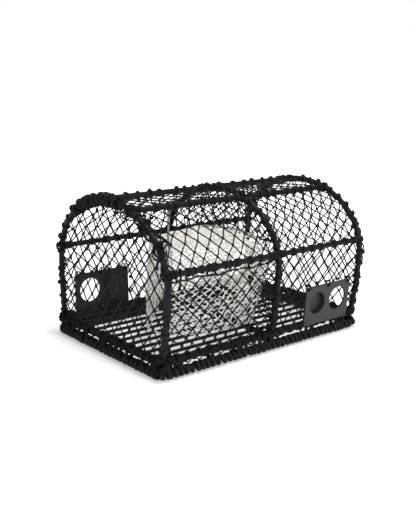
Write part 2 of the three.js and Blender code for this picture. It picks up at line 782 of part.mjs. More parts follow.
// Height of an outline's upper edge at the given Y
function topOfOutline(outline, y) {
  let top = -Infinity;
  outline.forEach((a, index) => {
    const b = outline[(index + 1) % outline.length];
    if ((a.y - y) * (b.y - y) <= 0) {
      top = Math.max(top, a.z + ((b.z - a.z) * (y - a.y)) / (b.y - a.y));
    }
  });
  return top;
}

function buildParlourFunnel() {
  add('parlour_funnel', funnelGeometry(parlourShares.map(parlourOutline)), creamPaint);
  const x = middleX - hoopClear - parlourLength + strapWidth / 2;
  const eye = parlourOutline(parlourShares[parlourShares.length - 1]);
  const edges = [-strapThickness / 2, strapThickness / 2];
  const low = Math.max(...edges.map((edge) => topOfOutline(eye, edge - topBarOffset))) + seat;
  const high = baseZ + topBarHeight - topBarRadius - seat;
  const strap = new THREE.BoxGeometry(strapWidth, strapThickness, high - low);
  strap.translate(x, -topBarOffset, (high + low) / 2);
  add('funnel_strap', strap, strapPaint);
}

// Entrance: the back wall of the right bay drawn in to a ring
function buildEntrance() {
  const span = backMidHeight;
  const wallY = (height) => halfWidth + ((backMidY - halfWidth) * height) / span;
  const low = baseBarRadius + lashingRope + 4 * seat;
  const high = backMidHeight - midBarRadius - 2 * seat;
  const x0 = rightSpan[0] + seat;
  const x1 = rightSpan[1] - seat;
  const eyeY = ringY + ringTube + seat;
  const square = roundedUnit(funnelSides, entrancePower);
  const drawIn = [0, 0.4, 0.72, 1];
  const stations = drawIn.map((along) => square.map(([across, up], index) => {
    const angle = (fullTurn * (index + 0.5)) / funnelSides;
    const height = low + ((high - low) * (up + 1)) / 2;
    const mouth = new THREE.Vector3(x0 + ((x1 - x0) * (across + 1)) / 2, wallY(height), baseZ + height);
    const eyeX = ringX + ringRadius * Math.cos(angle);
    const eye = new THREE.Vector3(eyeX, eyeY, baseZ + ringHeight + ringRadius * Math.sin(angle));
    const ease = Math.sin((Math.PI / 2) * along);
    const point = new THREE.Vector3().lerpVectors(mouth, eye, ease);
    point.y = mouth.y + (eye.y - mouth.y) * along;
    return point;
  }));
  add('entrance_funnel', funnelGeometry(stations), creamPaint);
  const ring = new THREE.TorusGeometry(ringRadius, ringTube, hexSides, 24);
  ring.rotateX(Math.PI / 2);
  add('entrance_ring', ring, creamPaint).position.set(ringX, ringY, baseZ + ringHeight);
}

buildFrame();
buildBumper();
buildLashings();
buildUpperNets();
const frontLower = faceBetween('front', baseLine, frontMidLine, baseBarRadius, midBarRadius);
const backLower = faceBetween('back', baseLine, backMidLine, baseBarRadius, midBarRadius);
buildLowerNets(frontLower, backLower);
buildDoor(frontLower);
buildPlates(frontLower, backLower);
buildEndNets();
buildPartition();
buildCornerRope();
buildParlourFunnel();
buildEntrance();

export default creel;
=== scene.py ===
"""Arched two-chamber creel: its netting, ropes and finishes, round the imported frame."""
from math import atan2, copysign, cos, pi, sin, sqrt

import bpy
import numpy as np
from mathutils import Matrix, Vector
from numpy.linalg import norm
from numpy.random import default_rng


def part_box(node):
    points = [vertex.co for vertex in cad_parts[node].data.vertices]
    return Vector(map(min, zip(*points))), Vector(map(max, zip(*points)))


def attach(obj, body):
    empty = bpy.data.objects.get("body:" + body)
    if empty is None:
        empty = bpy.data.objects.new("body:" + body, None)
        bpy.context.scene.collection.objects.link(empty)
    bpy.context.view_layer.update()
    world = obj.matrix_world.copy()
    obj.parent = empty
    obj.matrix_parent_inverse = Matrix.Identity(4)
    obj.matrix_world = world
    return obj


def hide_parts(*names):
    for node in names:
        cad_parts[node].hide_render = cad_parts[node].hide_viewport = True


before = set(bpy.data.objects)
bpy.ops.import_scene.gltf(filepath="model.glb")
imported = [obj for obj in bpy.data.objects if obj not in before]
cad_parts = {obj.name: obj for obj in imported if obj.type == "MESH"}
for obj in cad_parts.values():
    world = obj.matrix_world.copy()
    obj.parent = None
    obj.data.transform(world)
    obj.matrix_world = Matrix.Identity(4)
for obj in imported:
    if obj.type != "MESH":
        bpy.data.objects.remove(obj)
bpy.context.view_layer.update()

# Sizes in millimetres, as in the part's source. A Z is above the ground, a height is above the base bars
MM = 0.001
LEFT_X, MIDDLE_X, RIGHT_X = -310.0, 18.3, 310.0
BASE_Z = 38.4
HALF_WIDTH = 190.5
LEG_BELLY = 14.0
BELLY_HEIGHT = 160.0
ARCH_HALF = HALF_WIDTH + LEG_BELLY
ARCH_RISE = 160.0
FRONT_MID_HEIGHT = 194.5
BACK_MID_HEIGHT = 177.6
TOP_BAR_Y = 73.1
TOP_BAR_HEIGHT = BELLY_HEIGHT + ARCH_RISE * sqrt(1 - (TOP_BAR_Y / ARCH_HALF) ** 2)
BAR_RADIUS, MID_BAR_RADIUS = 6.8, 6.4
BUMPER_X, BUMPER_Y, BUMPER_Z = 315.4, 195.9, 12.0
LASHING_X = 292.8
FRONT_PLATE_X, BACK_PLATE_X = 197.5, -192.0
PLATE_LENGTH, PLATE_HEIGHT, PLATE_FOOT, PLATE_OUTSET = 158.0, 98.0, 1.0, 9.6
RING_X, RING_Y, RING_HEIGHT, RING_RADIUS = 150.0, 40.0, 95.0, 62.0
ENTRANCE_LOW, ENTRANCE_HIGH = 13.4, 170.6
CORNER_ROPE_Y, CORNER_KNOT_HEIGHT = -113.35, 124.0

# Cordage
NET_TWINE, HITCH_TWINE, CREAM_TWINE = 3.2, 3.6, 3.4
NET_KNOT, EDGE_KNOT = 6.8, 8.0
CREAM_KNOTS = 4.4, 5.6
BUMPER_ROPE, BUMPER_CORE = 13.6, 7.4
BUMPER_SIDE_PITCH, BUMPER_END_PITCH = 15.6, 15.0
COIL_RADIUS, COIL_OUTSET = 14.0, 2.0
BUMPER_BEND = 13.0
MOUTH_CORD_HEIGHT = 222.0
DOOR_GAP, DOOR_RING = 9.0, 12.2
STRAP_HALF_WIDTH, STRAP_HALF_THICKNESS = 4.6, 0.9

# Camera: the photograph's viewing angle, in radians, and its place, in metres
AZIMUTH, ELEVATION, ROLL = 0.7283873, 0.2506485, 0.0351527
CAMERA_PLACE = -1.3735, -1.5179, 0.7035
FOCAL_LENGTH, SENSOR_WIDTH = 59.12, 36


def put_object(name, data):
    made = bpy.data.objects.new(name, data)
    bpy.context.scene.collection.objects.link(made)
    return made


def place_camera():
    forward = Vector((sin(AZIMUTH) * cos(ELEVATION), cos(AZIMUTH) * cos(ELEVATION), -sin(ELEVATION)))
    level = Vector((cos(AZIMUTH), -sin(AZIMUTH), 0))
    above = level.cross(forward)
    right = level * cos(ROLL) + above * sin(ROLL)
    up = above * cos(ROLL) - level * sin(ROLL)
    data = bpy.data.cameras.new("camera")
    data.sensor_width = SENSOR_WIDTH
    data.lens = FOCAL_LENGTH
    data.clip_start, data.clip_end = 0.05, 60
    camera = put_object("camera", data)
    rows = zip(right, up, -forward, CAMERA_PLACE)
    camera.matrix_world = Matrix((*rows, (0, 0, 0, 1)))
    bpy.context.scene.camera = camera


class Graph:
    """A node tree, with short calls for what the materials and the geometry trees share"""

    def __init__(self, tree):
        self.tree = tree

    def fill(self, node, inputs):
        """Links or sets a node's inputs by name or number"""
        for key, value in inputs.items():
            if isinstance(value, bpy.types.NodeSocket):
                self.tree.links.new(value, node.inputs[key])
            else:
                node.inputs[key].default_value = value

    def node(self, kind, inputs=None, **settings):
        made = self.tree.nodes.new(kind)
        for name, value in settings.items():
            setattr(made, name, value)
        self.fill(made, inputs or {})
        return made

    def out(self, kind, inputs=None, **settings):
        """First output of a new node"""
        return self.node(kind, inputs, **settings).outputs[0]

    def math(self, operation, *values):
        return self.out("ShaderNodeMath", dict(enumerate(values)), operation=operation)

    def place(self):
        return self.node("ShaderNodeTexCoord").outputs["Object"]

    def colour(self, share, first, second):
        """A colour between two hex values"""
        ramp = self.node("ShaderNodeValToRGB", {"Fac": share})
        for stop, code in zip(ramp.color_ramp.elements, (first, second)):
            stop.color = linear(code)
        return ramp.outputs["Color"]

    def grain(self, size, detail=3.0, roughness=0.55):
        """Noise in Object coordinates whose features are about size mm across"""
        scale = 1 / (size * MM)
        return self.out("ShaderNodeTexNoise", {
            "Vector": self.place(), "Scale": scale, "Detail": detail, "Roughness": roughness})

    def ribs(self, travelled, pitch):
        """Waves one pitch in mm apart along a length"""
        return self.math("SINE", self.math("MULTIPLY", travelled, 2 * pi / (pitch * MM)))

    def bump(self, height, depth, strength):
        return self.node("ShaderNodeBump", {
            "Height": height, "Distance": depth * MM, "Strength": strength}).outputs["Normal"]


def linear(code):
    """Linear colour from an sRGB hex value"""
    shares = [int(code[i:i + 2], 16) / 255 for i in (1, 3, 5)]
    return [c / 12.92 if c <= 0.04045 else ((c + 0.055) / 1.055) ** 2.4 for c in shares] + [1.0]


# Materials

def start_material(name):
    material = bpy.data.materials.new(name)
    material.use_nodes = True
    return material, Graph(material.node_tree)


def end_material(material, graph, colour, bump, roughness, **others):
    """The finished material, with any other inputs of its shader by name"""
    named = {name.replace("_", " "): value for name, value in others.items()}
    graph.fill(material.node_tree.nodes["Principled BSDF"], {
        "Base Color": colour, "Normal": graph.bump(*bump), "Roughness": roughness, **named})
    return material


def laid_rope_material(name, shade, light, hollow):
    """Three-strand polypropylene rope: a waxy fibre with a dull sheen, and painted shade that darkens the
    lay's hollows
    """
    material, graph = start_material(name)
    section = graph.node("ShaderNodeAttribute", attribute_name="section").outputs["Vector"]
    along = graph.node("ShaderNodeAttribute", attribute_name="along").outputs["Fac"]
    part = graph.node("ShaderNodeSeparateXYZ", {"Vector": section}).outputs
    angle = graph.math("ARCTAN2", part["Y"], part["X"])
    strand = graph.math("COSINE", graph.math("MULTIPLY", angle, 3.0))
    crown = graph.math("MULTIPLY_ADD", strand, 0.5, 0.5)
    # Painted shade: the near-black hollow colour darkens the grooves between the strands, where shade falls
    rope_colour_with_painted_shade = graph.node("ShaderNodeMix", {
        "Factor": graph.math("POWER", crown, 0.6),
        "A": linear(hollow),
        "B": graph.colour(graph.grain(9.0), shade, light),
    }, data_type="RGBA")
    # Fibres lie across the rope's run at the strand's own twist, drawn coarse enough to show
    run = graph.math("MULTIPLY", along, 2 * pi / (4.5 * MM))
    fibre = graph.math("SINE", graph.math("MULTIPLY_ADD", angle, 12.0, run))
    height = graph.math("ADD", graph.math("MULTIPLY", fibre, 0.35), graph.grain(1.2))
    bump = height, 0.5, 0.7
    return end_material(material, graph, rope_colour_with_painted_shade.outputs["Result"], bump, 0.5, IOR=1.49, Specular_IOR_Level=0.1)


def braided_twine_material(name, shade, light, roughness, gloss):
    """Braided polyethylene twine: fine crossing yarns that catch small lights along each strand"""
    material, graph = start_material(name)
    along = graph.node("ShaderNodeAttribute", attribute_name="along").outputs["Fac"]
    # The yarns of the braid are 0.4 mm; they are drawn 1.6 mm apart so that they show
    height = graph.math("ADD", graph.math("MULTIPLY", graph.ribs(along, 1.6), 0.3), graph.grain(0.9))
    colour = graph.colour(graph.grain(14.0), shade, light)
    bump = height, 0.3, 0.6
    return end_material(material, graph, colour, bump, roughness, IOR=1.5, Specular_IOR_Level=gloss)


def worn_material(name, shade, light, wear, roughness, skin, ior, gloss=0.5):
    """Smooth surface mottled by wear (size, detail, roughness), with a skin (size, depth, strength)"""
    material, graph = start_material(name)
    worn = graph.grain(*wear)
    rough = graph.out("ShaderNodeMapRange", {"Value": worn, "To Min": roughness[0], "To Max": roughness[1]})
    size, depth, strength = skin
    bump = graph.grain(size), depth, strength
    colour = graph.colour(worn, shade, light)
    return end_material(material, graph, colour, bump, rough, IOR=ior, Specular_IOR_Level=gloss)


def sleeved_rod_material(name, shade, light):
    """Steel rod in a black rubber sleeve: smooth and half matt, greyed where it has been handled"""
    return worn_material(name, shade, light, (30.0, 5.0, 0.65), (0.42, 0.6), (2.5, 0.25, 0.4), 1.52, 0.15)


def moulded_plate_material(name, shade, light):
    """Injection-moulded polyethylene, with faint scuffs"""
    # The mould's grain is 0.3 mm; it is drawn at 0.9 mm so that it shows
    return worn_material(name, shade, light, (22.0, 6.0, 0.7), (0.5, 0.68), (0.9, 0.12, 0.5), 1.51)


def webbing_material(name, shade, light):
    """Woven polyester webbing: ribs across its run"""
    material, graph = start_material(name)
    height = graph.node("ShaderNodeSeparateXYZ", {"Vector": graph.place()}).outputs["Z"]
    colour = graph.colour(graph.grain(6.0), shade, light)
    return end_material(material, graph, colour, (graph.ribs(height, 1.8), 0.4, 0.6), 0.75, Sheen_Weight=0.2)


def studio_floor_material():
    """Matt white paper sweep: lit as the object is, and lifted to white for the camera and reflections"""
    material, graph = start_material("white_paper_floor")
    path = graph.node("ShaderNodeLightPath").outputs
    seen = graph.math("MAXIMUM", path["Is Camera Ray"], path["Is Glossy Ray"])
    seen = graph.math("MAXIMUM", seen, path["Is Transmission Ray"])
    away = graph.node("ShaderNodeVectorMath", {0: graph.place()}, operation="LENGTH").outputs["Value"]
    far = graph.out("ShaderNodeMapRange", {
        "Value": away, "From Min": 0.3, "From Max": 1.6, "To Min": 0.26, "To Max": 1.0})
    graph.fill(material.node_tree.nodes["Principled BSDF"], {
        "Base Color": linear("#f4f4f4"),
        "Roughness": 0.9,
        "Specular IOR Level": 0.1,
        "Emission Strength": graph.math("MULTIPLY", seen, far),
        "Emission Color": (1, 1, 1, 1),
    })
    return material


# Geometry trees

def start_tree(name, sizes):
    """A geometry tree, what it is given, its strands, and how far each point lies along its strand"""
    tree = bpy.data.node_groups.new(name, "GeometryNodeTree")
    for way in ("INPUT", "OUTPUT"):
        tree.interface.new_socket("Geometry", in_out=way, socket_type="NodeSocketGeometry")
    for label, value in sizes.items():
        kind = "NodeSocketInt" if isinstance(value, int) else "NodeSocketFloat"
        tree.interface.new_socket(label, in_out="INPUT", socket_type=kind).default_value = value
    tree.interface.new_socket("Finish", in_out="INPUT", socket_type="NodeSocketMaterial")
    graph = Graph(tree)
    given = graph.node("NodeGroupInput").outputs
    run = graph.out("GeometryNodeMeshToCurve", {"Mesh": given["Geometry"]})
    return graph, given, run, graph.node("GeometryNodeSplineParameter").outputs["Length"]


def end_tree(graph, geometry, finish):
    real = graph.out("GeometryNodeRealizeInstances", {"Geometry": geometry})
    smooth = graph.out("GeometryNodeSetShadeSmooth", {"Geometry": real})
    coated = graph.out("GeometryNodeSetMaterial", {"Geometry": smooth, "Material": finish})
    graph.node("NodeGroupOutput", {"Geometry": coated})
    return graph.tree


def store(graph, geometry, name, value, kind):
    return graph.out("GeometryNodeStoreNamedAttribute", {
        "Geometry": geometry, "Name": name, "Value": value}, data_type=kind, domain="POINT")


def circle(graph, sides, diameter):
    radius = graph.math("MULTIPLY", diameter, 0.5)
    return graph.out("GeometryNodeCurvePrimitiveCircle", {
        "Resolution": sides, "Radius": radius}, mode="RADIUS")


def sweep(graph, run, travelled, section):
    marked = store(graph, run, "along", travelled, "FLOAT")
    return graph.out("GeometryNodeCurveToMesh", {
        "Curve": marked, "Profile Curve": section, "Fill Caps": True})


def scaled(graph, vector, share):
    return graph.out("ShaderNodeVectorMath", {0: vector, "Scale": share}, operation="SCALE")


def laid_rope_tree():
    """Three-strand rope along each chain of points: a lobed section that turns with the lay"""
    graph, given, run, travelled = start_tree("laid_rope", {
        "Rope diameter": 0.01, "Lay length": 0.03, "Hollow depth": 0.2})
    turns = graph.math("DIVIDE", travelled, given["Lay length"])
    twist = graph.math("MULTIPLY", turns, 2 * pi)
    twisted = graph.out("GeometryNodeSetCurveTilt", {"Curve": run, "Tilt": twist})
    # Every fourth of the section's twelve points is the crown of a strand
    index = graph.out("GeometryNodeInputIndex")
    lobe = graph.math("COSINE", graph.math("MULTIPLY", index, pi / 2))
    hollow = graph.math("MULTIPLY_ADD", lobe, -0.5, 0.5)
    shrink = graph.math("MULTIPLY", graph.math("MULTIPLY", hollow, given["Hollow depth"]), -1.0)
    place = graph.out("GeometryNodeInputPosition")
    ring = store(graph, circle(graph, 12, given["Rope diameter"]), "section", place, "FLOAT_VECTOR")
    lobed = graph.out("GeometryNodeSetPosition", {"Geometry": ring, "Offset": scaled(graph, place, shrink)})
    return end_tree(graph, sweep(graph, twisted, travelled, lobed), given["Finish"])


def twine_tree():
    """Round twine along each strand, and a knot at each point that is marked with a knot size"""
    graph, given, run, travelled = start_tree("knotted_twine", {
        "Twine diameter": 0.003, "Sides": 6, "Seed": 1})
    strands = sweep(graph, run, travelled, circle(graph, given["Sides"], given["Twine diameter"]))
    size = graph.out("GeometryNodeInputNamedAttribute", {"Name": "knot"}, data_type="FLOAT")
    tied = graph.math("GREATER_THAN", size, 0.0001)
    turn, uneven = (
        graph.out("FunctionNodeRandomValue", {
            0: low, 1: high, "Seed": given["Seed"]}, data_type="FLOAT_VECTOR")
        for low, high in (((0, 0, 0), (6.28, 6.28, 6.28)), ((0.75, 0.75, 0.75), (1.3, 1.15, 1.0))))
    knots = graph.out("GeometryNodeInstanceOnPoints", {
        "Points": graph.out("GeometryNodeMeshToPoints", {"Mesh": given["Geometry"], "Selection": tied}),
        "Instance": graph.out("GeometryNodeMeshUVSphere", {"Segments": 9, "Rings": 6, "Radius": 0.5}),
        "Rotation": turn,
        "Scale": scaled(graph, uneven, size),
    })
    both = graph.node("GeometryNodeJoinGeometry")
    for shape in (strands, knots):
        graph.fill(both, {0: shape})
    return end_tree(graph, both.outputs[0], given["Finish"])


class Cordage:
    """Points and strands of one piece, in millimetres, with a knot size for each point"""

    def __init__(self):
        self.points = []
        self.strands = []
        self.knots = []

    def add(self, points, strands=(), knots=None):
        first = len(self.points)
        self.points.extend(np.asarray(points, float).reshape(-1, 3))
        self.knots.extend([0.0] * len(points) if knots is None else knots)
        self.strands.extend((first + a, first + b) for a, b in strands)
        return self

    def chain(self, points, closed=False):
        count = len(points)
        return self.add(points, [(i, (i + 1) % count) for i in range(count if closed else count - 1)])

    def bend(self, start, middle, end, knots):
        """A strand of two stretches"""
        self.add([start, middle, end], [(0, 1), (1, 2)], knots)

    def piece(self, name, tree, given, nodes, body):
        """The finished piece: the tree's result as a plain mesh that rides on a body"""
        mesh = bpy.data.meshes.new(name)
        mesh.from_pydata([tuple(p * MM) for p in self.points], self.strands, [])
        knot = mesh.attributes.new("knot", "FLOAT", "POINT")
        knot.data.foreach_set("value", np.array(self.knots, np.float32) * MM)
        made = put_object(name, mesh)
        modifier = made.modifiers.new(tree.name, "NODES")
        modifier.node_group = tree
        for socket in tree.interface.items_tree:
            if socket.in_out == "INPUT" and socket.name in given:
                modifier[socket.identifier] = given[socket.name]
        ready = bpy.context.evaluated_depsgraph_get()
        solid = bpy.data.meshes.new_from_object(
            made.evaluated_get(ready), preserve_all_data_layers=True, depsgraph=ready)
        made.modifiers.clear()
        made.data = solid
        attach(made, body)
        if nodes:
            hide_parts(*nodes)

    def rope(self, name, diameter, lay, *nodes, slot="rope", body="creel", finish=None):
        """A piece of laid rope, in place of the nodes"""
        given = {"Rope diameter": diameter * MM, "Lay length": lay * MM, "Finish": finish or rope_finish}
        self.piece(name, ROPE, given, nodes, body)

    def twine(self, name, diameter, *nodes, slot="net", body="creel", finish=None, seed=1, sides=6):
        """A piece of knotted twine, in place of the nodes"""
        given = {"Twine diameter": diameter * MM, "Sides": sides, "Seed": seed}
        given["Finish"] = finish or net_finish
        self.piece(name, TWINE, given, nodes, body)


# Lines of the frame

def xyz(x, y, z):
    return np.array([x, y, z], float)


def round_angles(count):
    return np.linspace(0, 2 * pi, count, endpoint=False)


def leg_half(height):
    if height >= BELLY_HEIGHT:
        return ARCH_HALF * sqrt(max(0.0, 1 - ((height - BELLY_HEIGHT) / ARCH_RISE) ** 2))
    return HALF_WIDTH + LEG_BELLY * sin(pi / 2 * height / BELLY_HEIGHT)


def lengths_along(points):
    """How far each point of a line lies along it"""
    return np.concatenate([[0], np.cumsum(norm(np.diff(points, axis=0), axis=1))])


def between(places, marks, table):
    """Rows of a three-column table at places between its marks"""
    return np.stack([np.interp(places, marks, table[:, axis]) for axis in range(3)], axis=-1)


def resample(points, step):
    """The same line with its points evenly spaced, about step apart"""
    points = np.asarray(points, float)
    travelled = lengths_along(points)
    count = max(2, int(round(travelled[-1] / step)) + 1)
    return between(np.linspace(0, travelled[-1], count), travelled, points)


def hoop_line(x):
    """Centre line of a hoop, from the front foot over the crown to the back foot"""
    legs = [(leg_half(h), h) for h in np.linspace(14, BELLY_HEIGHT, 40)]
    arch = [(ARCH_HALF * cos(a), BELLY_HEIGHT + ARCH_RISE * sin(a)) for a in np.linspace(0, pi, 160)]
    front = [(-y, h) for y, h in legs]
    over = [(-y, h) for y, h in arch[1:-1]]
    return resample([(x, y, BASE_Z + h) for y, h in front + over + legs[::-1]], 2.0)


def bar_line(start, end):
    """Centre line of a bar between two points with heights above the base bars"""
    return resample([(x, y, BASE_Z + h) for x, y, h in (start, end)], 4.0)


class Rod:
    """A rod's centre line, with directions round it, to wind cord on"""

    def __init__(self, line, radius, outward):
        self.line = line
        self.radius = radius
        self.travelled = lengths_along(line)
        self.length = self.travelled[-1]
        tangent = np.gradient(line, axis=0)
        tangent /= norm(tangent, axis=1)[:, None]
        out = outward(line)
        out = out - (out * tangent).sum(1)[:, None] * tangent
        self.out = out / norm(out, axis=1)[:, None]
        self.side = np.cross(tangent, self.out)

    def at(self, travelled, table):
        return between(travelled, self.travelled, table)

    def wound(self, travelled, angle, reach):
        """Points at a turn angle and a reach from the rod's centre line"""
        out = self.at(travelled, self.out) * (np.cos(angle) * reach)[:, None]
        side = self.at(travelled, self.side) * (np.sin(angle) * reach)[:, None]
        return self.at(travelled, self.line) + out + side

    def nearest(self, point):
        away = norm(self.line - point, axis=1)
        best = int(away.argmin())
        return self.travelled[best], away[best]


def away_from_middle(line):
    out = line - xyz(0, 0, BASE_Z + BELLY_HEIGHT * 0.8)
    out[:, 0] = 0
    return out


def toward(*direction):
    return lambda line: np.tile(np.array(direction, float), (len(line), 1))


def drift(count, every, size, rng):
    """Slow wander, with one free value for each stretch of points"""
    marks = np.arange(0, count + every, every)
    return np.interp(np.arange(count), marks, rng.normal(0, size, len(marks)))


def coil(rod, start, end, pitch, reach, rng, wander):
    """Path of a rope wound round a rod from start to end along it"""
    steps = 14
    loops = (end - start) / pitch
    count = max(8, int(loops * steps))
    angle = np.linspace(0, loops * 2 * pi, count)
    travelled = np.clip(np.linspace(start, end, count) + drift(count, steps, wander * pitch, rng), start, end)
    return rod.wound(travelled, angle, reach + drift(count, steps, reach * 0.06, rng))


def hitch(cordage, rod, stations, twine, turns, rng):
    """Tight turns of twine round a rod at each station"""
    for station in stations:
        made = turns * rng.uniform(0.75, 1.3)
        half = made * twine * 0.5
        count = int(made * 11) + 2
        angle = np.linspace(0, made * 2 * pi, count) + rng.uniform(0, 2 * pi)
        travelled = np.clip(np.linspace(station - half, station + half, count), 1, rod.length - 1)
        reach = rod.radius + twine * 0.45 + np.abs(drift(count, 6, 0.5, rng))
        cordage.chain(rod.wound(travelled, angle, reach))


def lay_along(cordage, rod, start, end, lift, lay, phase, wander, rng):
    """One strand that follows a rod, lifted off it, and turns slowly round it"""
    count = int((end - start) / 4) + 3
    travelled = np.linspace(start, end, count)
    angle = phase + (travelled - start) / lay * 2 * pi + drift(count, 9, 0.35, rng)
    cordage.chain(rod.wound(travelled, angle, rod.radius + lift + drift(count, 6, wander, rng)))


def lumps(cordage, rod, stations, size, angle, rng):
    """Knots that stand out from a rod on the side at an angle"""
    for station in stations:
        diameter = size * rng.uniform(0.85, 1.15)
        turn = angle + rng.normal(0, 0.35)
        reach = rod.radius + diameter * 0.02
        cordage.add(rod.wound(np.array([station]), np.array([turn]), np.array([reach])), (), [diameter])


# Netting

# Where the netting's edges meet the frame, in millimetres
hitched = []


def strands_up(index, even, odd):
    """Strands from each knot of a mesh to those in the row above, a few columns away"""
    found = []
    for (row, column), start in index.items():
        for step in odd if row % 2 else even:
            if (row + 1, column + step) in index:
                found.append((start, index[row + 1, column + step]))
    return found


def diamond_net(width, height, columns, rows, rng, jitter, keep=None):
    """Flat diamond netting: knots, strands and which points are hitched to an edge"""
    across, up = width / columns, height / (2 * rows)
    knots, index = [], {}
    for row in range(2 * rows + 1):
        odd, at_end = row % 2, row in (0, 2 * rows)
        for column in range(columns + odd):
            at_side = odd and column in (0, columns)
            a = (column + (0.0 if odd else 0.5)) * across
            a += 0 if at_side else rng.normal(0, jitter * across)
            b = row * up + (0 if at_end else rng.normal(0, jitter * up))
            index[row, column] = len(knots)
            knots.append((a, b, at_side or at_end))
    strands = strands_up(index, (0, 1), (-1, 0))
    return clip_net(knots, strands, keep) if keep else (knots, strands)


def only_used(knots, strands):
    """The knots that strands still join, and the strands in the new numbers"""
    used = sorted({point for strand in strands for point in strand})
    renumber = {old: new for new, old in enumerate(used)}
    return [knots[i] for i in used], [(renumber[a], renumber[b]) for a, b in strands]


def clip_net(knots, strands, keep):
    """Netting cut to the places that keep allows, with each cut strand ending on the edge"""
    knots = list(knots)
    inside = [keep(a, b) for a, b, _ in knots]
    kept = []
    for start, end in strands:
        if inside[start] and inside[end]:
            kept.append((start, end))
        elif inside[start] or inside[end]:
            held, gone = (start, end) if inside[start] else (end, start)
            near, far = (np.array(knots[i][:2]) for i in (held, gone))
            share = 0.0
            for halving in range(1, 15):
                if keep(*(near + (far - near) * (share + 0.5 ** halving))):
                    share += 0.5 ** halving
            kept.append((held, len(knots)))
            knots.append((*(near + (far - near) * share), True))
    return only_used(knots, kept)


def hang_net(name, net, surface, seed):
    """A net's piece on a surface, in place of the node of its name. Its edge points are kept as hitched"""
    knots, strands = net
    points = [surface(a, b) for a, b, _ in knots]
    hitched.extend(point for point, (_, _, edge) in zip(points, knots) if edge)
    cordage = Cordage().add(points, strands, [EDGE_KNOT if edge else NET_KNOT for _, _, edge in knots])
    cordage.twine(f"netting_{name}", NET_TWINE, f"net_{name}", seed=seed)


def hoop_between(start, end):
    """Share to (y, height) along a hoop between two of its points"""
    first, last = (atan2((h - BELLY_HEIGHT) / ARCH_RISE, y / ARCH_HALF) for y, h in (start, end))

    def place(share):
        if min(start[1], end[1]) < BELLY_HEIGHT:
            height = start[1] + (end[1] - start[1]) * share
            return np.array([copysign(leg_half(height), start[0]), height])
        angle = first + (last - first) * share
        return np.array([ARCH_HALF * cos(angle), BELLY_HEIGHT + ARCH_RISE * sin(angle)])

    return place


def panel_surface(x0, x1, start, end, stand_off, follow=0.0):
    """Surface of a side panel: along the hoops at its ends and nearer the chord in the middle"""
    on_hoop = hoop_between(start, end)
    run = end - start
    height = float(norm(run))
    normal = np.array([-run[1], run[0]]) / height
    middle = (start + end) / 2 - np.array([0, BELLY_HEIGHT * 0.8])
    normal = normal if normal @ middle > 0 else -normal

    def surface(a, b):
        u, v = a / (x1 - x0), b / height
        grip = follow + (1 - follow) * abs(2 * u - 1) ** 2.2
        y, h = (start + run * v) * (1 - grip) + on_hoop(v) * grip
        return xyz(x0 + a, y + normal[0] * stand_off, BASE_Z + h + normal[1] * stand_off)

    return surface, height


BASE_FRONT, BASE_BACK = np.array([-HALF_WIDTH, 0.0]), np.array([HALF_WIDTH, 0.0])
MID_FRONT = np.array([-leg_half(FRONT_MID_HEIGHT), FRONT_MID_HEIGHT])
MID_BACK = np.array([leg_half(BACK_MID_HEIGHT), BACK_MID_HEIGHT])
TOP_FRONT, TOP_BACK = np.array([-TOP_BAR_Y, TOP_BAR_HEIGHT]), np.array([TOP_BAR_Y, TOP_BAR_HEIGHT])
BAYS = {"left": (LEFT_X, MIDDLE_X), "right": (MIDDLE_X, RIGHT_X)}
ROWS, ENDS = (("front", -1), ("back", 1)), (("left", -1), ("right", 1))


def beside_plate(x0, centre, clear=3.0):
    """Keeps netting off a vent plate and what is below its top edge behind it"""
    half = PLATE_LENGTH / 2
    low, high = centre - x0 - half - clear, centre - x0 + half + clear
    return lambda a, b: not (low < a < high and b < PLATE_FOOT + PLATE_HEIGHT + clear)


def build_nets():
    for seed, (name, start, end, columns, rows, keep) in enumerate((
        ("front_upper_left", MID_FRONT, TOP_FRONT, 9, 4, None),
        ("front_upper_right", MID_FRONT, TOP_FRONT, 9, 5, None),
        ("back_upper_left", MID_BACK, TOP_BACK, 9, 4, None),
        ("back_upper_right", MID_BACK, TOP_BACK, 9, 5, None),
        ("top_left", TOP_FRONT, TOP_BACK, 7, 3, None),
        ("top_right", TOP_FRONT, TOP_BACK, 7, 3, None),
        ("front_lower_right", BASE_FRONT, MID_FRONT, 8, 5, beside_plate(MIDDLE_X, FRONT_PLATE_X)),
        ("back_lower_left", BASE_BACK, MID_BACK, 9, 5, beside_plate(LEFT_X, BACK_PLATE_X)),
    ), 11):
        x0, x1 = BAYS[name.split("_")[-1]]
        surface, height = panel_surface(x0, x1, start, end, 2.0, 0.6 if "upper" in name else 0.0)
        rng = default_rng(seed)
        hang_net(name, diamond_net(x1 - x0, height, columns, rows, rng, 0.07, keep), surface, seed)


def hoop_net(name, x, foot, rows, across, up, uneven, straight, seed):
    """Even diamond mesh across a hoop, cut and hitched along it. It returns its random generator"""
    rng = default_rng(seed)
    knots, index = [], {}
    for row in rows:
        for column in range(-7, 8):
            y = (column + (row % 2) / 2) * across + rng.normal(0, uneven[0])
            shift = 0 if row == straight else rng.normal(0, uneven[1])
            index[row, column] = len(knots)
            knots.append((y, foot + row * up + shift, False))
    net = clip_net(knots, strands_up(index, (0, -1), (0, 1)), lambda y, h: (
        2.0 < h < BELLY_HEIGHT + ARCH_RISE and abs(y) < leg_half(h) - 1.0))
    hang_net(name, net, lambda y, h: xyz(x, y, BASE_Z + h), seed)
    return rng


def build_end_nets():
    for seed, (end, side) in enumerate(ENDS, 21):
        hoop_net(f"end_{end}", side * (RIGHT_X + 1.5), 0, range(-1, 15), 36.0, 22.5, (1.8, 1.4), None, seed)


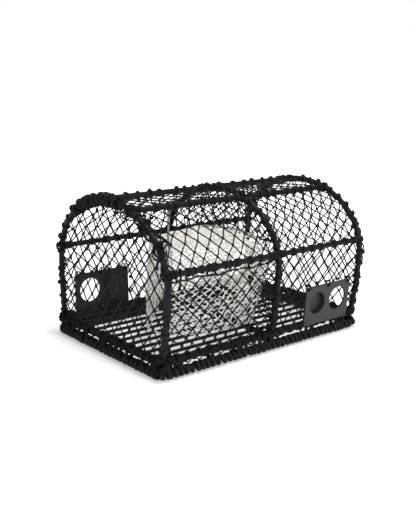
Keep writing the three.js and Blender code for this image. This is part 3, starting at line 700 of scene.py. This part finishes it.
def build_door():
    """Door panel: netting on side cords, with a selvage rope that sags along its top"""
    seed = 31
    x0, x1 = BAYS["left"]
    rng = default_rng(seed)
    surface, height = panel_surface(x0 + DOOR_GAP, x1 - DOOR_GAP, BASE_FRONT, MID_FRONT, 0.0)
    width = x1 - x0 - 2 * DOOR_GAP

    def hung(a, b):
        share = b / height
        sag = 13 + 4 * sin(pi * a / width) ** 0.7 + 1.6 * sin(a / 17) + 1.2 * sin(a / 7.3 + 1)
        # The foot is drawn in from the corner lashings, which the door clears as it drops
        drawn = 14 * max(0.0, 1 - 5 * share) * (1 - 2 * a / width)
        return surface(a + drawn, share * (height - sag) + 12 * (1 - share))

    knots, strands = diamond_net(width, height, 9, 5, rng, 0.06)
    points = [hung(a, b) for a, b, _ in knots]
    cordage = Cordage().add(points, strands, [NET_KNOT] * len(knots))
    # Each mesh of the foot has a ring of twine round the base bar, on which the door turns
    for (x, _, _), (_, b, _) in zip(points, knots):
        if b == 0:
            cordage.chain([
                xyz(x + 1.2 * sin(t), -HALF_WIDTH + DOOR_RING * cos(t), BASE_Z + DOOR_RING * sin(t))
                for t in round_angles(16)], closed=True)
    cordage.twine("door_netting", NET_TWINE, "door_net", body="door", seed=seed)
    top = [hung(a, height) + rng.normal(0, 0.7, 3) for a in np.linspace(0, width, 60)]
    left = [hung(0, b) for b in np.linspace(5, height, 20)]
    right = [hung(width, b) for b in np.linspace(height, 5, 20)]
    selvage = Cordage().chain(left[:-1] + top + right[1:])
    selvage.rope("door_selvage_rope", 5.6, 17, slot="net", body="door")
    lacing = Cordage()
    reach = MID_BAR_RADIUS + 1.8
    for a in np.array([16, 44, 63, 104, 128, 171, 184, 228, 262, 290]) * width / 310:
        low = hung(a, height)
        bar = xyz(low[0] + rng.normal(0, 3), MID_FRONT[0], BASE_Z + FRONT_MID_HEIGHT)
        over = [bar + xyz(0.6 * angle, -reach * cos(angle), reach * sin(angle))
                for angle in np.linspace(-0.6 * pi, 1.1 * pi, 12)]
        lacing.chain([low + xyz(0, 0, -2.5), low + xyz(0.5, -3.4, 1.5), *over, low + xyz(0.5, 3.2, 1.5)])
    lacing.twine("door_top_lacing", 3.2)


# Bumper, lashings and wrapped rods

def bumper_end_line(x):
    """Line of an end's bumper, rounded into both corners"""
    side = copysign(1, x)
    corner = [
        (x - side * BUMPER_BEND * (1 - sin(a)), BUMPER_Y - BUMPER_BEND * (1 - cos(a)))
        for a in np.linspace(0, pi / 2, 10)
    ]
    mirrored = [(px, -py) for px, py in reversed(corner)]
    return [(px, py, COIL_RADIUS) for px, py in corner + mirrored]


def build_bumper():
    """The four wound sides, and the cores that they are wound on"""
    reach = COIL_RADIUS - BUMPER_ROPE / 2 - 1.1
    rng = default_rng(41)
    run, out = BUMPER_X - BUMPER_BEND, BUMPER_Y + COIL_OUTSET
    cores = Cordage()
    for name, pitch, line in (
        ("front", BUMPER_SIDE_PITCH, [(-run, -out, COIL_RADIUS), (run, -out, COIL_RADIUS)]),
        ("back", BUMPER_SIDE_PITCH, [(run, out, COIL_RADIUS), (-run, out, COIL_RADIUS)]),
        ("left", BUMPER_END_PITCH, bumper_end_line(-BUMPER_X - COIL_OUTSET)),
        ("right", BUMPER_END_PITCH, bumper_end_line(BUMPER_X + COIL_OUTSET)[::-1]),
    ):
        rod = Rod(resample(line, 6), BUMPER_CORE / 2, toward(0, 0, 1))
        path = coil(rod, 2, rod.length - 2, pitch, reach, rng, 0.13)
        Cordage().chain(path).rope(f"bumper_coil_{name}", BUMPER_ROPE, 42, f"bumper_winding_{name}")
        cores.chain(rod.line)
    nodes = "bumper_core_front", "bumper_core_back", "bumper_core_left", "bumper_core_right"
    cores.twine("bumper_cores", BUMPER_CORE, *nodes, slot="rope", finish=rod_finish, sides=12)


def belt(bar_out, low_out, bar_reach, low_reach):
    """Closed run round a base bar and the bumper's core below it, as points outward and up"""
    bar, low = np.array([bar_out, BASE_Z]), np.array([low_out, BUMPER_Z])
    axis = (low - bar) / norm(low - bar)
    side = np.array([axis[1], -axis[0]])
    angles = np.linspace(0, pi, 10)
    turn = [bar + bar_reach * (-axis * sin(a) + side * cos(a)) for a in angles]
    back = [low + low_reach * (axis * sin(a) - side * cos(a)) for a in angles]
    return np.array(turn + back)


def lash(cordage, run, along, across, centre, turns, rope, rng, lean):
    """A lashing's path: belts one beside another along a bar"""
    per = len(run)
    path = []
    for step in range(int(turns * per)):
        point = run[step % per]
        shift = (step / per - turns / 2) * rope * 0.95
        tilt = lean * sin(2 * pi * step / per)
        place = centre + along * (shift + tilt + rng.normal(0, 0.25)) + across * point[0]
        path.append(place + xyz(0, 0, point[1]))
    cordage.chain(path)


def build_lashings():
    rng = default_rng(51)
    along_x, along_y = xyz(1, 0, 0), xyz(0, 1, 0)
    for end, way in ENDS:
        for row, side in ROWS:
            cordage = Cordage()
            for turns, lean, more in ((2.5, 0.0, 0.0), (1.6, 4.0, 2.4), (1.4, -4.5, 3.6)):
                run = belt(HALF_WIDTH, BUMPER_Y, BAR_RADIUS + 3.4 + more, 8.4)
                lash(cordage, run, along_x, side * along_y, way * LASHING_X * along_x, turns, 5.6, rng, lean)
            cordage.rope(f"lashing_{row}_{end}", 5.8, 18, f"corner_lashing_{row}_{end}")
    # Ties between the base bars and the bumper: a few turns each, at a lean of their own
    ties = Cordage()
    side_run = belt(HALF_WIDTH, BUMPER_Y, BAR_RADIUS + 2.8, 7.0)
    end_run = belt(RIGHT_X, BUMPER_X, BAR_RADIUS + 2.8, 7.0)
    side_ties = (
        (-272, 2.6), (-175, 2.4), (-94, 3.0), (-72, 2.2), (-34, 1.6), (-12, 2.4), (14, 3.2), (28, 2.0),
        (126, 2.0), (146, 2.6), (243, 2.2), (268, 2.4))
    end_ties = (
        (-176, 3.0), (-136, 1.6), (-76, 2.4), (-36, 2.4), (-14, 3.2), (8, 3.0), (28, 2.2), (78, 1.8),
        (112, 2.4), (136, 2.0), (160, 2.6), (180, 2.0))
    for run, along, across, places in (
        (side_run, along_x, -along_y, side_ties),
        # The back has half as many as the front
        (side_run, along_x, along_y, side_ties[::2]),
        (end_run, along_y, -along_x, end_ties),
        (end_run, along_y, along_x, end_ties),
    ):
        for place, turns in places:
            centre = along * (place + rng.normal(0, 2))
            lash(ties, run, along, across, centre, turns, 5.4, rng, rng.uniform(2, 8))
    ties.rope("bumper_ties", 5.2, 15)


def stations_on(rod, apart, near=15.0):
    """Places along a rod where netting is hitched to it"""
    found = sorted(place for place, away in (rod.nearest(p) for p in hitched) if away < near)
    merged = []
    for place in found:
        if merged and place - merged[-1] < apart:
            continue
        if 4 < place < rod.length - 4:
            merged.append(place)
    return merged


def frame_rods():
    """The hoops and bars that cord is hitched to, by name"""
    rods = {}
    for name, x in (("left", LEFT_X), ("middle", MIDDLE_X), ("right", RIGHT_X)):
        rods[f"hoop_{name}"] = Rod(hoop_line(x), BAR_RADIUS, away_from_middle)
    for bay, (x0, x1) in BAYS.items():
        for name, places, radius, out, up in (
            ("mid_bar", (MID_FRONT, MID_BACK), MID_BAR_RADIUS, 1, 0.2),
            ("top_bar", (TOP_FRONT, TOP_BACK), BAR_RADIUS, 0.4, 1),
        ):
            for (row, side), place in zip(ROWS, places):
                line = bar_line((x0 + 8, *place), (x1 - 8, *place))
                rods[f"{name}_{row}_{bay}"] = Rod(line, radius, toward(0, side * out, up))
    for row, side in ROWS:
        y = side * HALF_WIDTH
        line = bar_line((LEFT_X, y, 0), (RIGHT_X, y, 0))
        rods[f"base_bar_{row}"] = Rod(line, BAR_RADIUS, toward(0, side, 0.3))
    for end, side in ENDS:
        line = bar_line((side * RIGHT_X, -HALF_WIDTH + 8, 0), (side * RIGHT_X, HALF_WIDTH - 8, 0))
        rods[f"cross_bar_{end}"] = Rod(line, BAR_RADIUS, toward(side, 0, 0.3))
    return rods


def wrap_base(hitches, wraps, rod, name, rng):
    stations = np.arange(20, rod.length - 12, 31.0)
    stations = stations + rng.normal(0, 5, len(stations))
    if name == "base_bar_front":
        # The door's own rings take the place of hitches where it turns
        stations = stations[stations > MIDDLE_X - LEFT_X]
    strands, lift, knot = (2, 0.2, 6.5) if name in ("base_bar_back", "cross_bar_right") else (4, 0.8, 8.5)
    for strand in range(strands):
        lay_along(wraps, rod, 6, rod.length - 6, lift, 120, strand * 1.6, 0.5, rng)
    hitch(hitches, rod, stations, 4.2, 1.6, rng)
    lumps(hitches, rod, stations + 6, knot, 0.2, rng)


def hitch_meshes(hitches, rod, apart, turns, knot, angle, rng, shift=0.0):
    """Hitches and knots where netting meets a rod"""
    stations = stations_on(rod, apart)
    if shift:
        stations = [place + more for place, more in zip(stations, rng.normal(0, shift, len(stations)))]
    hitch(hitches, rod, stations, HITCH_TWINE, turns, rng)
    lumps(hitches, rod, stations, knot, angle, rng)


def wrap_hoop(hitches, wraps, rod, loose, rng):
    for strand in range(1 if loose else 2):
        lay_along(hitches, rod, 14, rod.length - 14, 1.2, 70, strand * 2.4, 1.0, rng)
    hitch_meshes(hitches, rod, 26.0, 1.5, 11.5, 0.0, rng)
    if loose:
        # The door side of the left hoop has loose turns of rope, from the mid bar up towards the crown
        lay_along(wraps, rod, 190, 400, 8.5, 58, 0.6, 5.0, rng)
        lay_along(wraps, rod, 200, 410, 7.0, 76, 3.4, 5.0, rng)


def build_rods_wrapped(rods):
    """Twine hitched along every hoop and bar, with a knot at each mesh"""
    for number, (name, rod) in enumerate(rods.items()):
        kind = name.split("_")[0]
        rng = default_rng(100 + number)
        hitches, wraps = Cordage(), Cordage()
        if kind in ("base", "cross"):
            wrap_base(hitches, wraps, rod, name, rng)
        elif kind == "hoop":
            wrap_hoop(hitches, wraps, rod, name == "hoop_left", rng)
        elif kind == "mid":
            hitch_meshes(hitches, rod, 29.0, 2.4, 7.5, pi * 0.75, rng)
        else:
            hitch_meshes(hitches, rod, 26.0, 1.4, 11.0, 0.0, rng, 5.0)
        diameter = 2.8 if kind == "mid" else HITCH_TWINE
        hitches.twine(f"hitches_{name}", diameter, slot="rope", finish=hitch_finish, seed=number + 3)
        if wraps.points:
            wraps.rope(f"wrap_{name}", 5.8, 20)


def tangle(cordage, centre, size, turns, rng):
    """Turns of cord thrown round a joint at changing angles"""
    path = []
    pole = rng.normal(0, 1, 3)
    for step in range(turns * 12):
        pole = pole + rng.normal(0, 0.14, 3)
        pole /= norm(pole)
        first = np.cross(pole, [0.3, 0.5, 0.8])
        first /= norm(first)
        second = np.cross(pole, first)
        angle = step / 12 * 2 * pi
        swell = rng.uniform(0.92, 1.08)
        path.append(centre + size * swell * (first * cos(angle) + second * sin(angle)))
    cordage.chain(path)


def build_joint_lashings():
    """Cord lashed over the frame's joints"""
    joints = []
    for x, size in ((LEFT_X, 1.0), (MIDDLE_X, 0.85), (RIGHT_X, 0.8)):
        for (y, h), share in ((MID_FRONT, 1.0), (MID_BACK, 1.0), (TOP_FRONT, 1.1), (TOP_BACK, 1.0)):
            joints.append((x, y, h, xyz(13, 12, 12) * size * share, 7))
        joints += [
            (x, -HALF_WIDTH, 5, xyz(16, 10, 15) * size, 11),
            (x, HALF_WIDTH, 3, xyz(15, 11, 15) * size, 10)]
    joints += [
        (LEFT_X, -HALF_WIDTH - 3, -6, xyz(21, 13, 19), 16),
        (LEFT_X, -118, 283, xyz(10, 14, 13), 7),
        (LEFT_X, -170, 245, xyz(9, 12, 16), 6)]
    rng = default_rng(67)
    cordage = Cordage()
    for x, y, h, size, turns in joints:
        tangle(cordage, xyz(x, y, BASE_Z + h), size, turns, rng)
    cordage.rope("joint_lashings", 5.0, 16)


def build_crown_wrap(rod):
    """Rope wound round the left hoop's crown and its back shoulder"""
    start = rod.nearest(xyz(LEFT_X, -34, BASE_Z + 318))[0]
    end = rod.nearest(xyz(LEFT_X, 144, BASE_Z + 273))[0]
    path = coil(rod, start, end, 20.0, BAR_RADIUS + 4.0, default_rng(61), 0.2)
    Cordage().chain(path).rope("hoop_left_crown_wrap", 12.6, 40)


# Funnels

# Share of the length, front low and top, back low and top, height, and how square the outline is
PARLOUR_STATIONS = np.array([
    (0.0, -0.68, -0.94, 0.92, 0.93, 0.675, 0.28),
    (0.26, -0.79, -0.86, 0.78, 0.8, 0.665, 0.32),
    (0.52, -0.79, -0.76, 0.56, 0.5, 0.665, 0.38),
    (0.78, -0.66, -0.6, 0.24, 0.18, 0.68, 0.44),
    (1.0, -0.46, -0.46, -0.04, -0.03, 0.7, 0.5),
])
PARLOUR_LENGTH = 222.0
PARLOUR_START = MIDDLE_X - 7.1
PARLOUR_SPAN = BELLY_HEIGHT + ARCH_RISE
FLOOR_TOP = 8.8
# The mouth's upper edge slopes from near the front post down to the back mid bar: places across and rises
MOUTH_ACROSS = -185, -120, -50, 60, 125, 190
MOUTH_RISES = 0.0, 12.0, 16.0, 2.0, -20.0, -38.0


def rounded_corner_unit(turn, power):
    """Across and up shares of a corner-rounded outline at a share of a full turn"""
    c, s = cos(2 * pi * turn), sin(2 * pi * turn)
    return copysign(abs(c) ** power, c), copysign(abs(s) ** power, s)


def parlour_point(turn, along):
    front_low, front_top, back_low, back_top, top, power = (
        np.interp(along, PARLOUR_STATIONS[:, 0], column) for column in PARLOUR_STATIONS.T[1:])
    across, up = rounded_corner_unit(turn, power if turn < 0.5 else power * 0.3)
    rise = (up + 1) / 2
    blend = (rise * rise * (3 - 2 * rise)) ** 0.6
    front = front_low + (front_top - front_low) * blend
    back = back_low + (back_top - back_low) * blend
    y = HALF_WIDTH * (front + (back - front) * (across + 1) / 2)
    height = FLOOR_TOP + (PARLOUR_SPAN * top - FLOOR_TOP) * rise
    height += np.interp(y, MOUTH_ACROSS, MOUTH_RISES) * rise * max(0.0, 1 - along / 0.8)
    return xyz(PARLOUR_START - along * PARLOUR_LENGTH, y, BASE_Z + height)


def wall_y(height):
    """How far out the back wall stands, which leans from the base bar to the mid bar"""
    return HALF_WIDTH + (MID_BACK[0] - HALF_WIDTH) * height / BACK_MID_HEIGHT


def entrance_point(turn, along):
    across, up = rounded_corner_unit(turn, 0.4)
    x0, x1 = MIDDLE_X + 7.4, RIGHT_X - 7.4
    height = ENTRANCE_LOW + (ENTRANCE_HIGH - ENTRANCE_LOW) * (up + 1) / 2
    mouth = xyz(x0 + (x1 - x0) * (across + 1) / 2, wall_y(height), BASE_Z + height)
    angle = 2 * pi * turn
    eye_y = RING_Y + 5.3
    eye = xyz(RING_X + RING_RADIUS * cos(angle), eye_y, BASE_Z + RING_HEIGHT + RING_RADIUS * sin(angle))
    point = mouth + (eye - mouth) * sin(pi / 2 * along)
    point[1] = mouth[1] + (eye_y - mouth[1]) * along
    return point


def even_outline(place, along, count):
    """Points evenly spaced round a funnel's outline at a share of its length"""
    dense = np.array([place(turn, along) for turn in np.linspace(0, 1, 241)])
    travelled = lengths_along(dense)
    return between(np.linspace(0, travelled[-1], count, endpoint=False), travelled, dense)


def funnel_net(place, around, rows, ruck, bare, rng):
    """Knotted netting round a funnel, slack between its ends, with none where the outline lies below bare"""
    knots, index, low = [], {}, set()
    phases = rng.uniform(0, 2 * pi, 6)
    for row in range(2 * rows + 1):
        along = row / (2 * rows)
        ring = even_outline(place, along, 2 * around)[row % 2::2]
        centre = ring.mean(0)
        slack = sin(pi * along) ** 0.5 if 0 < along < 1 else 0
        for column, point in enumerate(ring):
            turn = 2 * pi * column / around
            waves = (sin(3 * turn + 4 * along + phases[0]) + sin(7 * turn - 6 * along + phases[1])
                     + 0.7 * sin(11 * turn + 9 * along + phases[2]))
            inward = centre - point
            inward /= norm(inward)
            shift = 1.6 + slack * ruck * (1.4 + waves * 0.7)
            if point[2] < bare:
                low.add(len(knots))
            index[row, column] = len(knots)
            knots.append(point + inward * shift + rng.normal(0, 1.1, 3))
    strands = []
    for row in range(2 * rows):
        for column in range(around):
            step = 1 if row % 2 else -1
            strands.append((index[row, column], index[row + 1, column]))
            strands.append((index[row, column], index[row + 1, (column + step) % around]))
    return only_used(knots, [strand for strand in strands if not set(strand) <= low])


def build_funnel(name, place, around, rows, ruck, seed, bare=-1e9):
    rng = default_rng(seed)
    knots, strands = funnel_net(place, around, rows, ruck, bare, rng)
    cordage = Cordage().add(knots, strands, list(rng.uniform(*CREAM_KNOTS, len(knots))))
    cordage.twine(f"{name}_netting", CREAM_TWINE, name, slot="cream", finish=cream_finish, seed=seed, sides=5)


def build_funnels():
    # The parlour's funnel is open on the slats
    build_funnel("parlour_funnel", parlour_point, 44, 12, 3.2, 71, BASE_Z + FLOOR_TOP + 3)
    build_funnel("entrance_funnel", entrance_point, 34, 8, 2.4, 81)
    rims = Cordage()
    for along in (0.0, 1.0):
        rims.chain(even_outline(parlour_point, along, 120), closed=True)
    rims.rope("parlour_funnel_rims", 5.2, 16, slot="cream", finish=cream_finish)


def build_partition():
    """Netting and cords in the middle hoop, round the funnel's mouth"""
    foot = MOUTH_CORD_HEIGHT
    rng = hoop_net("partition", MIDDLE_X, foot, range(8), 34.0, 17.0, (1.6, 1.2), 0, 91)
    half = leg_half(foot) - BAR_RADIUS
    cord = Cordage().chain(resample([(MIDDLE_X + x, y, BASE_Z + foot + rise) for x, y, rise in (
        (0, -half, 0), (-1, -150, -2), (-2, -50, 8), (-2, 60, -6), (0, half, -42))], 6.0))
    cord.rope("mouth_cord_rope", 5.0, 18, "mouth_cord")
    # Twine that laces the funnel's mouth to the hoop and the cord above it
    lacing = Cordage()
    line = hoop_line(MIDDLE_X)
    for point in even_outline(parlour_point, 0.0, 44):
        point = point + xyz(2, 0, 0)
        height = point[2] - BASE_Z
        if height < 24:
            continue
        if height > 190:
            end = xyz(MIDDLE_X, point[1] + rng.normal(0, 4), BASE_Z + foot)
        else:
            end = line[int(norm(line - point, axis=1).argmin())]
        lacing.bend(point, (point + end) / 2 + rng.normal(0, 1.0, 3), end, [6.0, 0.0, 7.0])
    lacing.twine("mouth_lacing", 3.0, seed=92)


def knot_path(centre, size):
    """Trefoil run of rope, drawn up into a knot"""
    points = []
    for t in round_angles(64):
        radius = 1 + 0.5 * cos(3 * t)
        across, along = radius * cos(2 * t) * 0.8, radius * sin(2 * t) * 0.8
        points.append(centre + size * xyz(across, along, 0.8 * sin(3 * t)))
    return points


def on_front_post(height):
    """Place on the inside of the middle hoop's front leg"""
    return xyz(MIDDLE_X, -leg_half(height) + BAR_RADIUS, BASE_Z + height)


def build_corner_rope():
    """Rope up from the middle cross bar with its knot at the funnel mouth's corner"""
    y = CORNER_ROPE_Y
    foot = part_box("mouth_corner_rope")[0].z / MM
    knot = xyz(MIDDLE_X, y, BASE_Z + CORNER_KNOT_HEIGHT)
    rope = Cordage()
    rope.chain(resample([(MIDDLE_X, y, foot), (MIDDLE_X, y, knot[2] - 6)], 5.0))
    rope.chain(knot_path(knot, 5.2), closed=True)
    rope.rope("corner_rope", 7.6, 23, "mouth_corner_rope")
    # Strands spread from the knot and the rope to the front post, as the corner of the mouth's frame
    spread = Cordage()
    for height in (40, 78, 112, 150, 186, 214):
        end = on_front_post(height)
        spread.bend(knot, (knot + end) / 2 + xyz(0, 0, -2), end, [0.0, 0.0, 7.5])
    for height in (22, 58, 92):
        low = xyz(MIDDLE_X, y, BASE_Z + height)
        spread.add([low, on_front_post(height + 18)], [(0, 1)], [7.0, 7.0])
        spread.add([low, on_front_post(max(8, height - 14))], [(0, 1)], [0.0, 7.0])
    spread.twine("corner_strands", 3.2, seed=93)


def build_strap():
    """Webbing that holds the parlour funnel's eye up, with a slight twist"""
    low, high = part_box("funnel_strap")
    count = 24
    section = ((-1, -0.7), (-0.9, -1), (0.9, -1), (1, -0.7), (1, 0.7), (0.9, 1), (-0.9, 1), (-1, 0.7))
    points, faces = [], []
    for step in range(count + 1):
        share = step / count
        centre = Vector(((low.x + high.x) / 2, (low.y + high.y) / 2, low.z + (high.z - low.z) * share))
        angle = 0.5 * sin(pi * share)
        wide = Vector((cos(angle), sin(angle), 0)) * STRAP_HALF_WIDTH * MM
        thick = Vector((-sin(angle), cos(angle), 0)) * STRAP_HALF_THICKNESS * MM
        points.extend(tuple(centre + wide * a + thick * b) for a, b in section)
    for k in range(count * 8):
        after = k + 1 if (k + 1) % 8 else k - 7
        faces.append((k, after, after + 8, k + 8))
    faces += [tuple(range(7, -1, -1)), tuple(range(count * 8, count * 8 + 8))]
    mesh = bpy.data.meshes.new("strap_webbing")
    mesh.from_pydata(points, [], faces)
    mesh.shade_smooth()
    mesh.materials.append(strap_finish)
    strap = put_object("strap_webbing", mesh)
    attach(strap, "creel")
    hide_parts("funnel_strap")


def build_stay():
    """Cord from the left hoop that holds the parlour funnel's eye out"""
    cord = Cordage()
    start = xyz(LEFT_X + 8, -107, BASE_Z + 294)
    end = xyz(-208, -85, BASE_Z + 224)
    rng = default_rng(95)
    for _ in range(4):
        shift = rng.normal(0, 1.6, 3)
        middle = (start + end) / 2 + shift + xyz(0, 0, -3)
        cord.bend(start + shift * 0.4, middle, end + shift * 0.4, [9.0, 0.0, 8.0])
    cord.twine("eye_stay_cord", 2.4, seed=95)


def build_plate_ties():
    """Twine through the lashing holes of both vent plates"""
    ties = Cordage()
    top = PLATE_FOOT + PLATE_HEIGHT - 7
    front_wall = HALF_WIDTH + (-MID_FRONT[0] - HALF_WIDTH) * top / FRONT_MID_HEIGHT
    for centre, side, wall in ((FRONT_PLATE_X, -1, front_wall), (BACK_PLATE_X, 1, wall_y(top))):
        for x in (centre - 72, centre, centre + 72):
            hole = xyz(x, side * (wall + PLATE_OUTSET), BASE_Z + top)
            for lean in (-3.0, 2.0):
                ties.chain([
                    hole + xyz(lean + 1.5 * sin(a), side * 6.0 * cos(a), 6 + 8 * sin(a))
                    for a in round_angles(14)], closed=True)
    ties.twine("plate_ties", 2.6)


def dress_frame():
    """Finishes of the frame's own nodes that no piece replaces"""
    finishes = {
        ("hoop", "base_bar", "cross_bar", "mid_bar", "top_bar", "door_hook"): rod_finish,
        "floor_slat": slat_finish,
        "vent_plate": plate_finish,
        "entrance_ring": ring_finish,
    }
    for name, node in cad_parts.items():
        for start, finish in finishes.items():
            if name.startswith(start):
                node.data.materials.clear()
                node.data.materials.append(finish)


# Studio: lengths in metres, lamps in watts

def add_lamp(name, size, power, place, target):
    data = bpy.data.lights.new(name, "AREA")
    data.shape = "DISK"
    data.size = size
    data.energy = power
    lamp = put_object(name, data)
    lamp.location = place
    lamp.rotation_euler = (Vector(target) - Vector(place)).to_track_quat("-Z", "Y").to_euler()


def build_studio():
    mesh = bpy.data.meshes.new("studio_floor")
    reach = 14
    corners = [(-reach, -reach, 0), (reach, -reach, 0), (reach, reach, 0), (-reach, reach, 0)]
    mesh.from_pydata(corners, [], [(0, 1, 2, 3)])
    mesh.materials.append(studio_floor_material())
    floor = put_object("studio_floor", mesh)
    add_lamp("overhead_lamp", 1.2, 44, (0.1, -0.2, 2.4), (0, 0, 0.1))
    add_lamp("left_lamp", 0.8, 14, (-2.4, -0.9, 1.5), (0, 0, 0.2))
    add_lamp("front_lamp", 1.0, 38, (0.1, -2.8, 1.3), (0, 0, 0.2))
    world = bpy.data.worlds.new("studio")
    bpy.context.scene.world = world
    world.use_nodes = True
    graph = Graph(world.node_tree)
    path = graph.node("ShaderNodeLightPath").outputs
    seen = graph.math("MAXIMUM", path["Is Camera Ray"], path["Is Transmission Ray"])
    strength = graph.out("ShaderNodeMapRange", {"Value": seen, "To Min": 0.34, "To Max": 1.0})
    graph.fill(world.node_tree.nodes["Background"], {"Color": (1, 1, 1, 1), "Strength": strength})
    bpy.context.scene.view_settings.view_transform = "Standard"


ROPE = laid_rope_tree()
TWINE = twine_tree()
# The rope's last colour, #020202, is painted shade for the grooves between its strands
rope_finish = laid_rope_material("black_laid_polypropylene_rope", "#0f0f10", "#303033", "#020202")
hitch_finish = braided_twine_material("black_braided_hitching_twine", "#0b0b0c", "#29292b", 0.4, 0.12)
net_finish = braided_twine_material("black_braided_netting_twine", "#0a0a0b", "#202022", 0.4, 0.1)
cream_finish = braided_twine_material("cream_braided_funnel_twine", "#eeeae2", "#faf8f4", 0.8, 0.3)
rod_finish = sleeved_rod_material("black_rubber_sleeved_rod", "#08080a", "#131315")
slat_finish = sleeved_rod_material("black_plastic_coated_slat", "#0a0a0c", "#151517")
plate_finish = moulded_plate_material("dark_grey_moulded_polyethylene", "#1e1e21", "#262629")
ring_finish = moulded_plate_material("cream_moulded_ring", "#e2ded4", "#efece5")
strap_finish = webbing_material("grey_polyester_webbing", "#7f7f7b", "#9c9c97")

place_camera()
dress_frame()
build_nets()
build_end_nets()
build_door()
build_bumper()
build_lashings()
build_partition()
rods = frame_rods()
build_rods_wrapped(rods)
build_crown_wrap(rods["hoop_left"])
build_joint_lashings()
build_funnels()
build_corner_rope()
build_strap()
build_stay()
build_plate_ties()
build_studio()
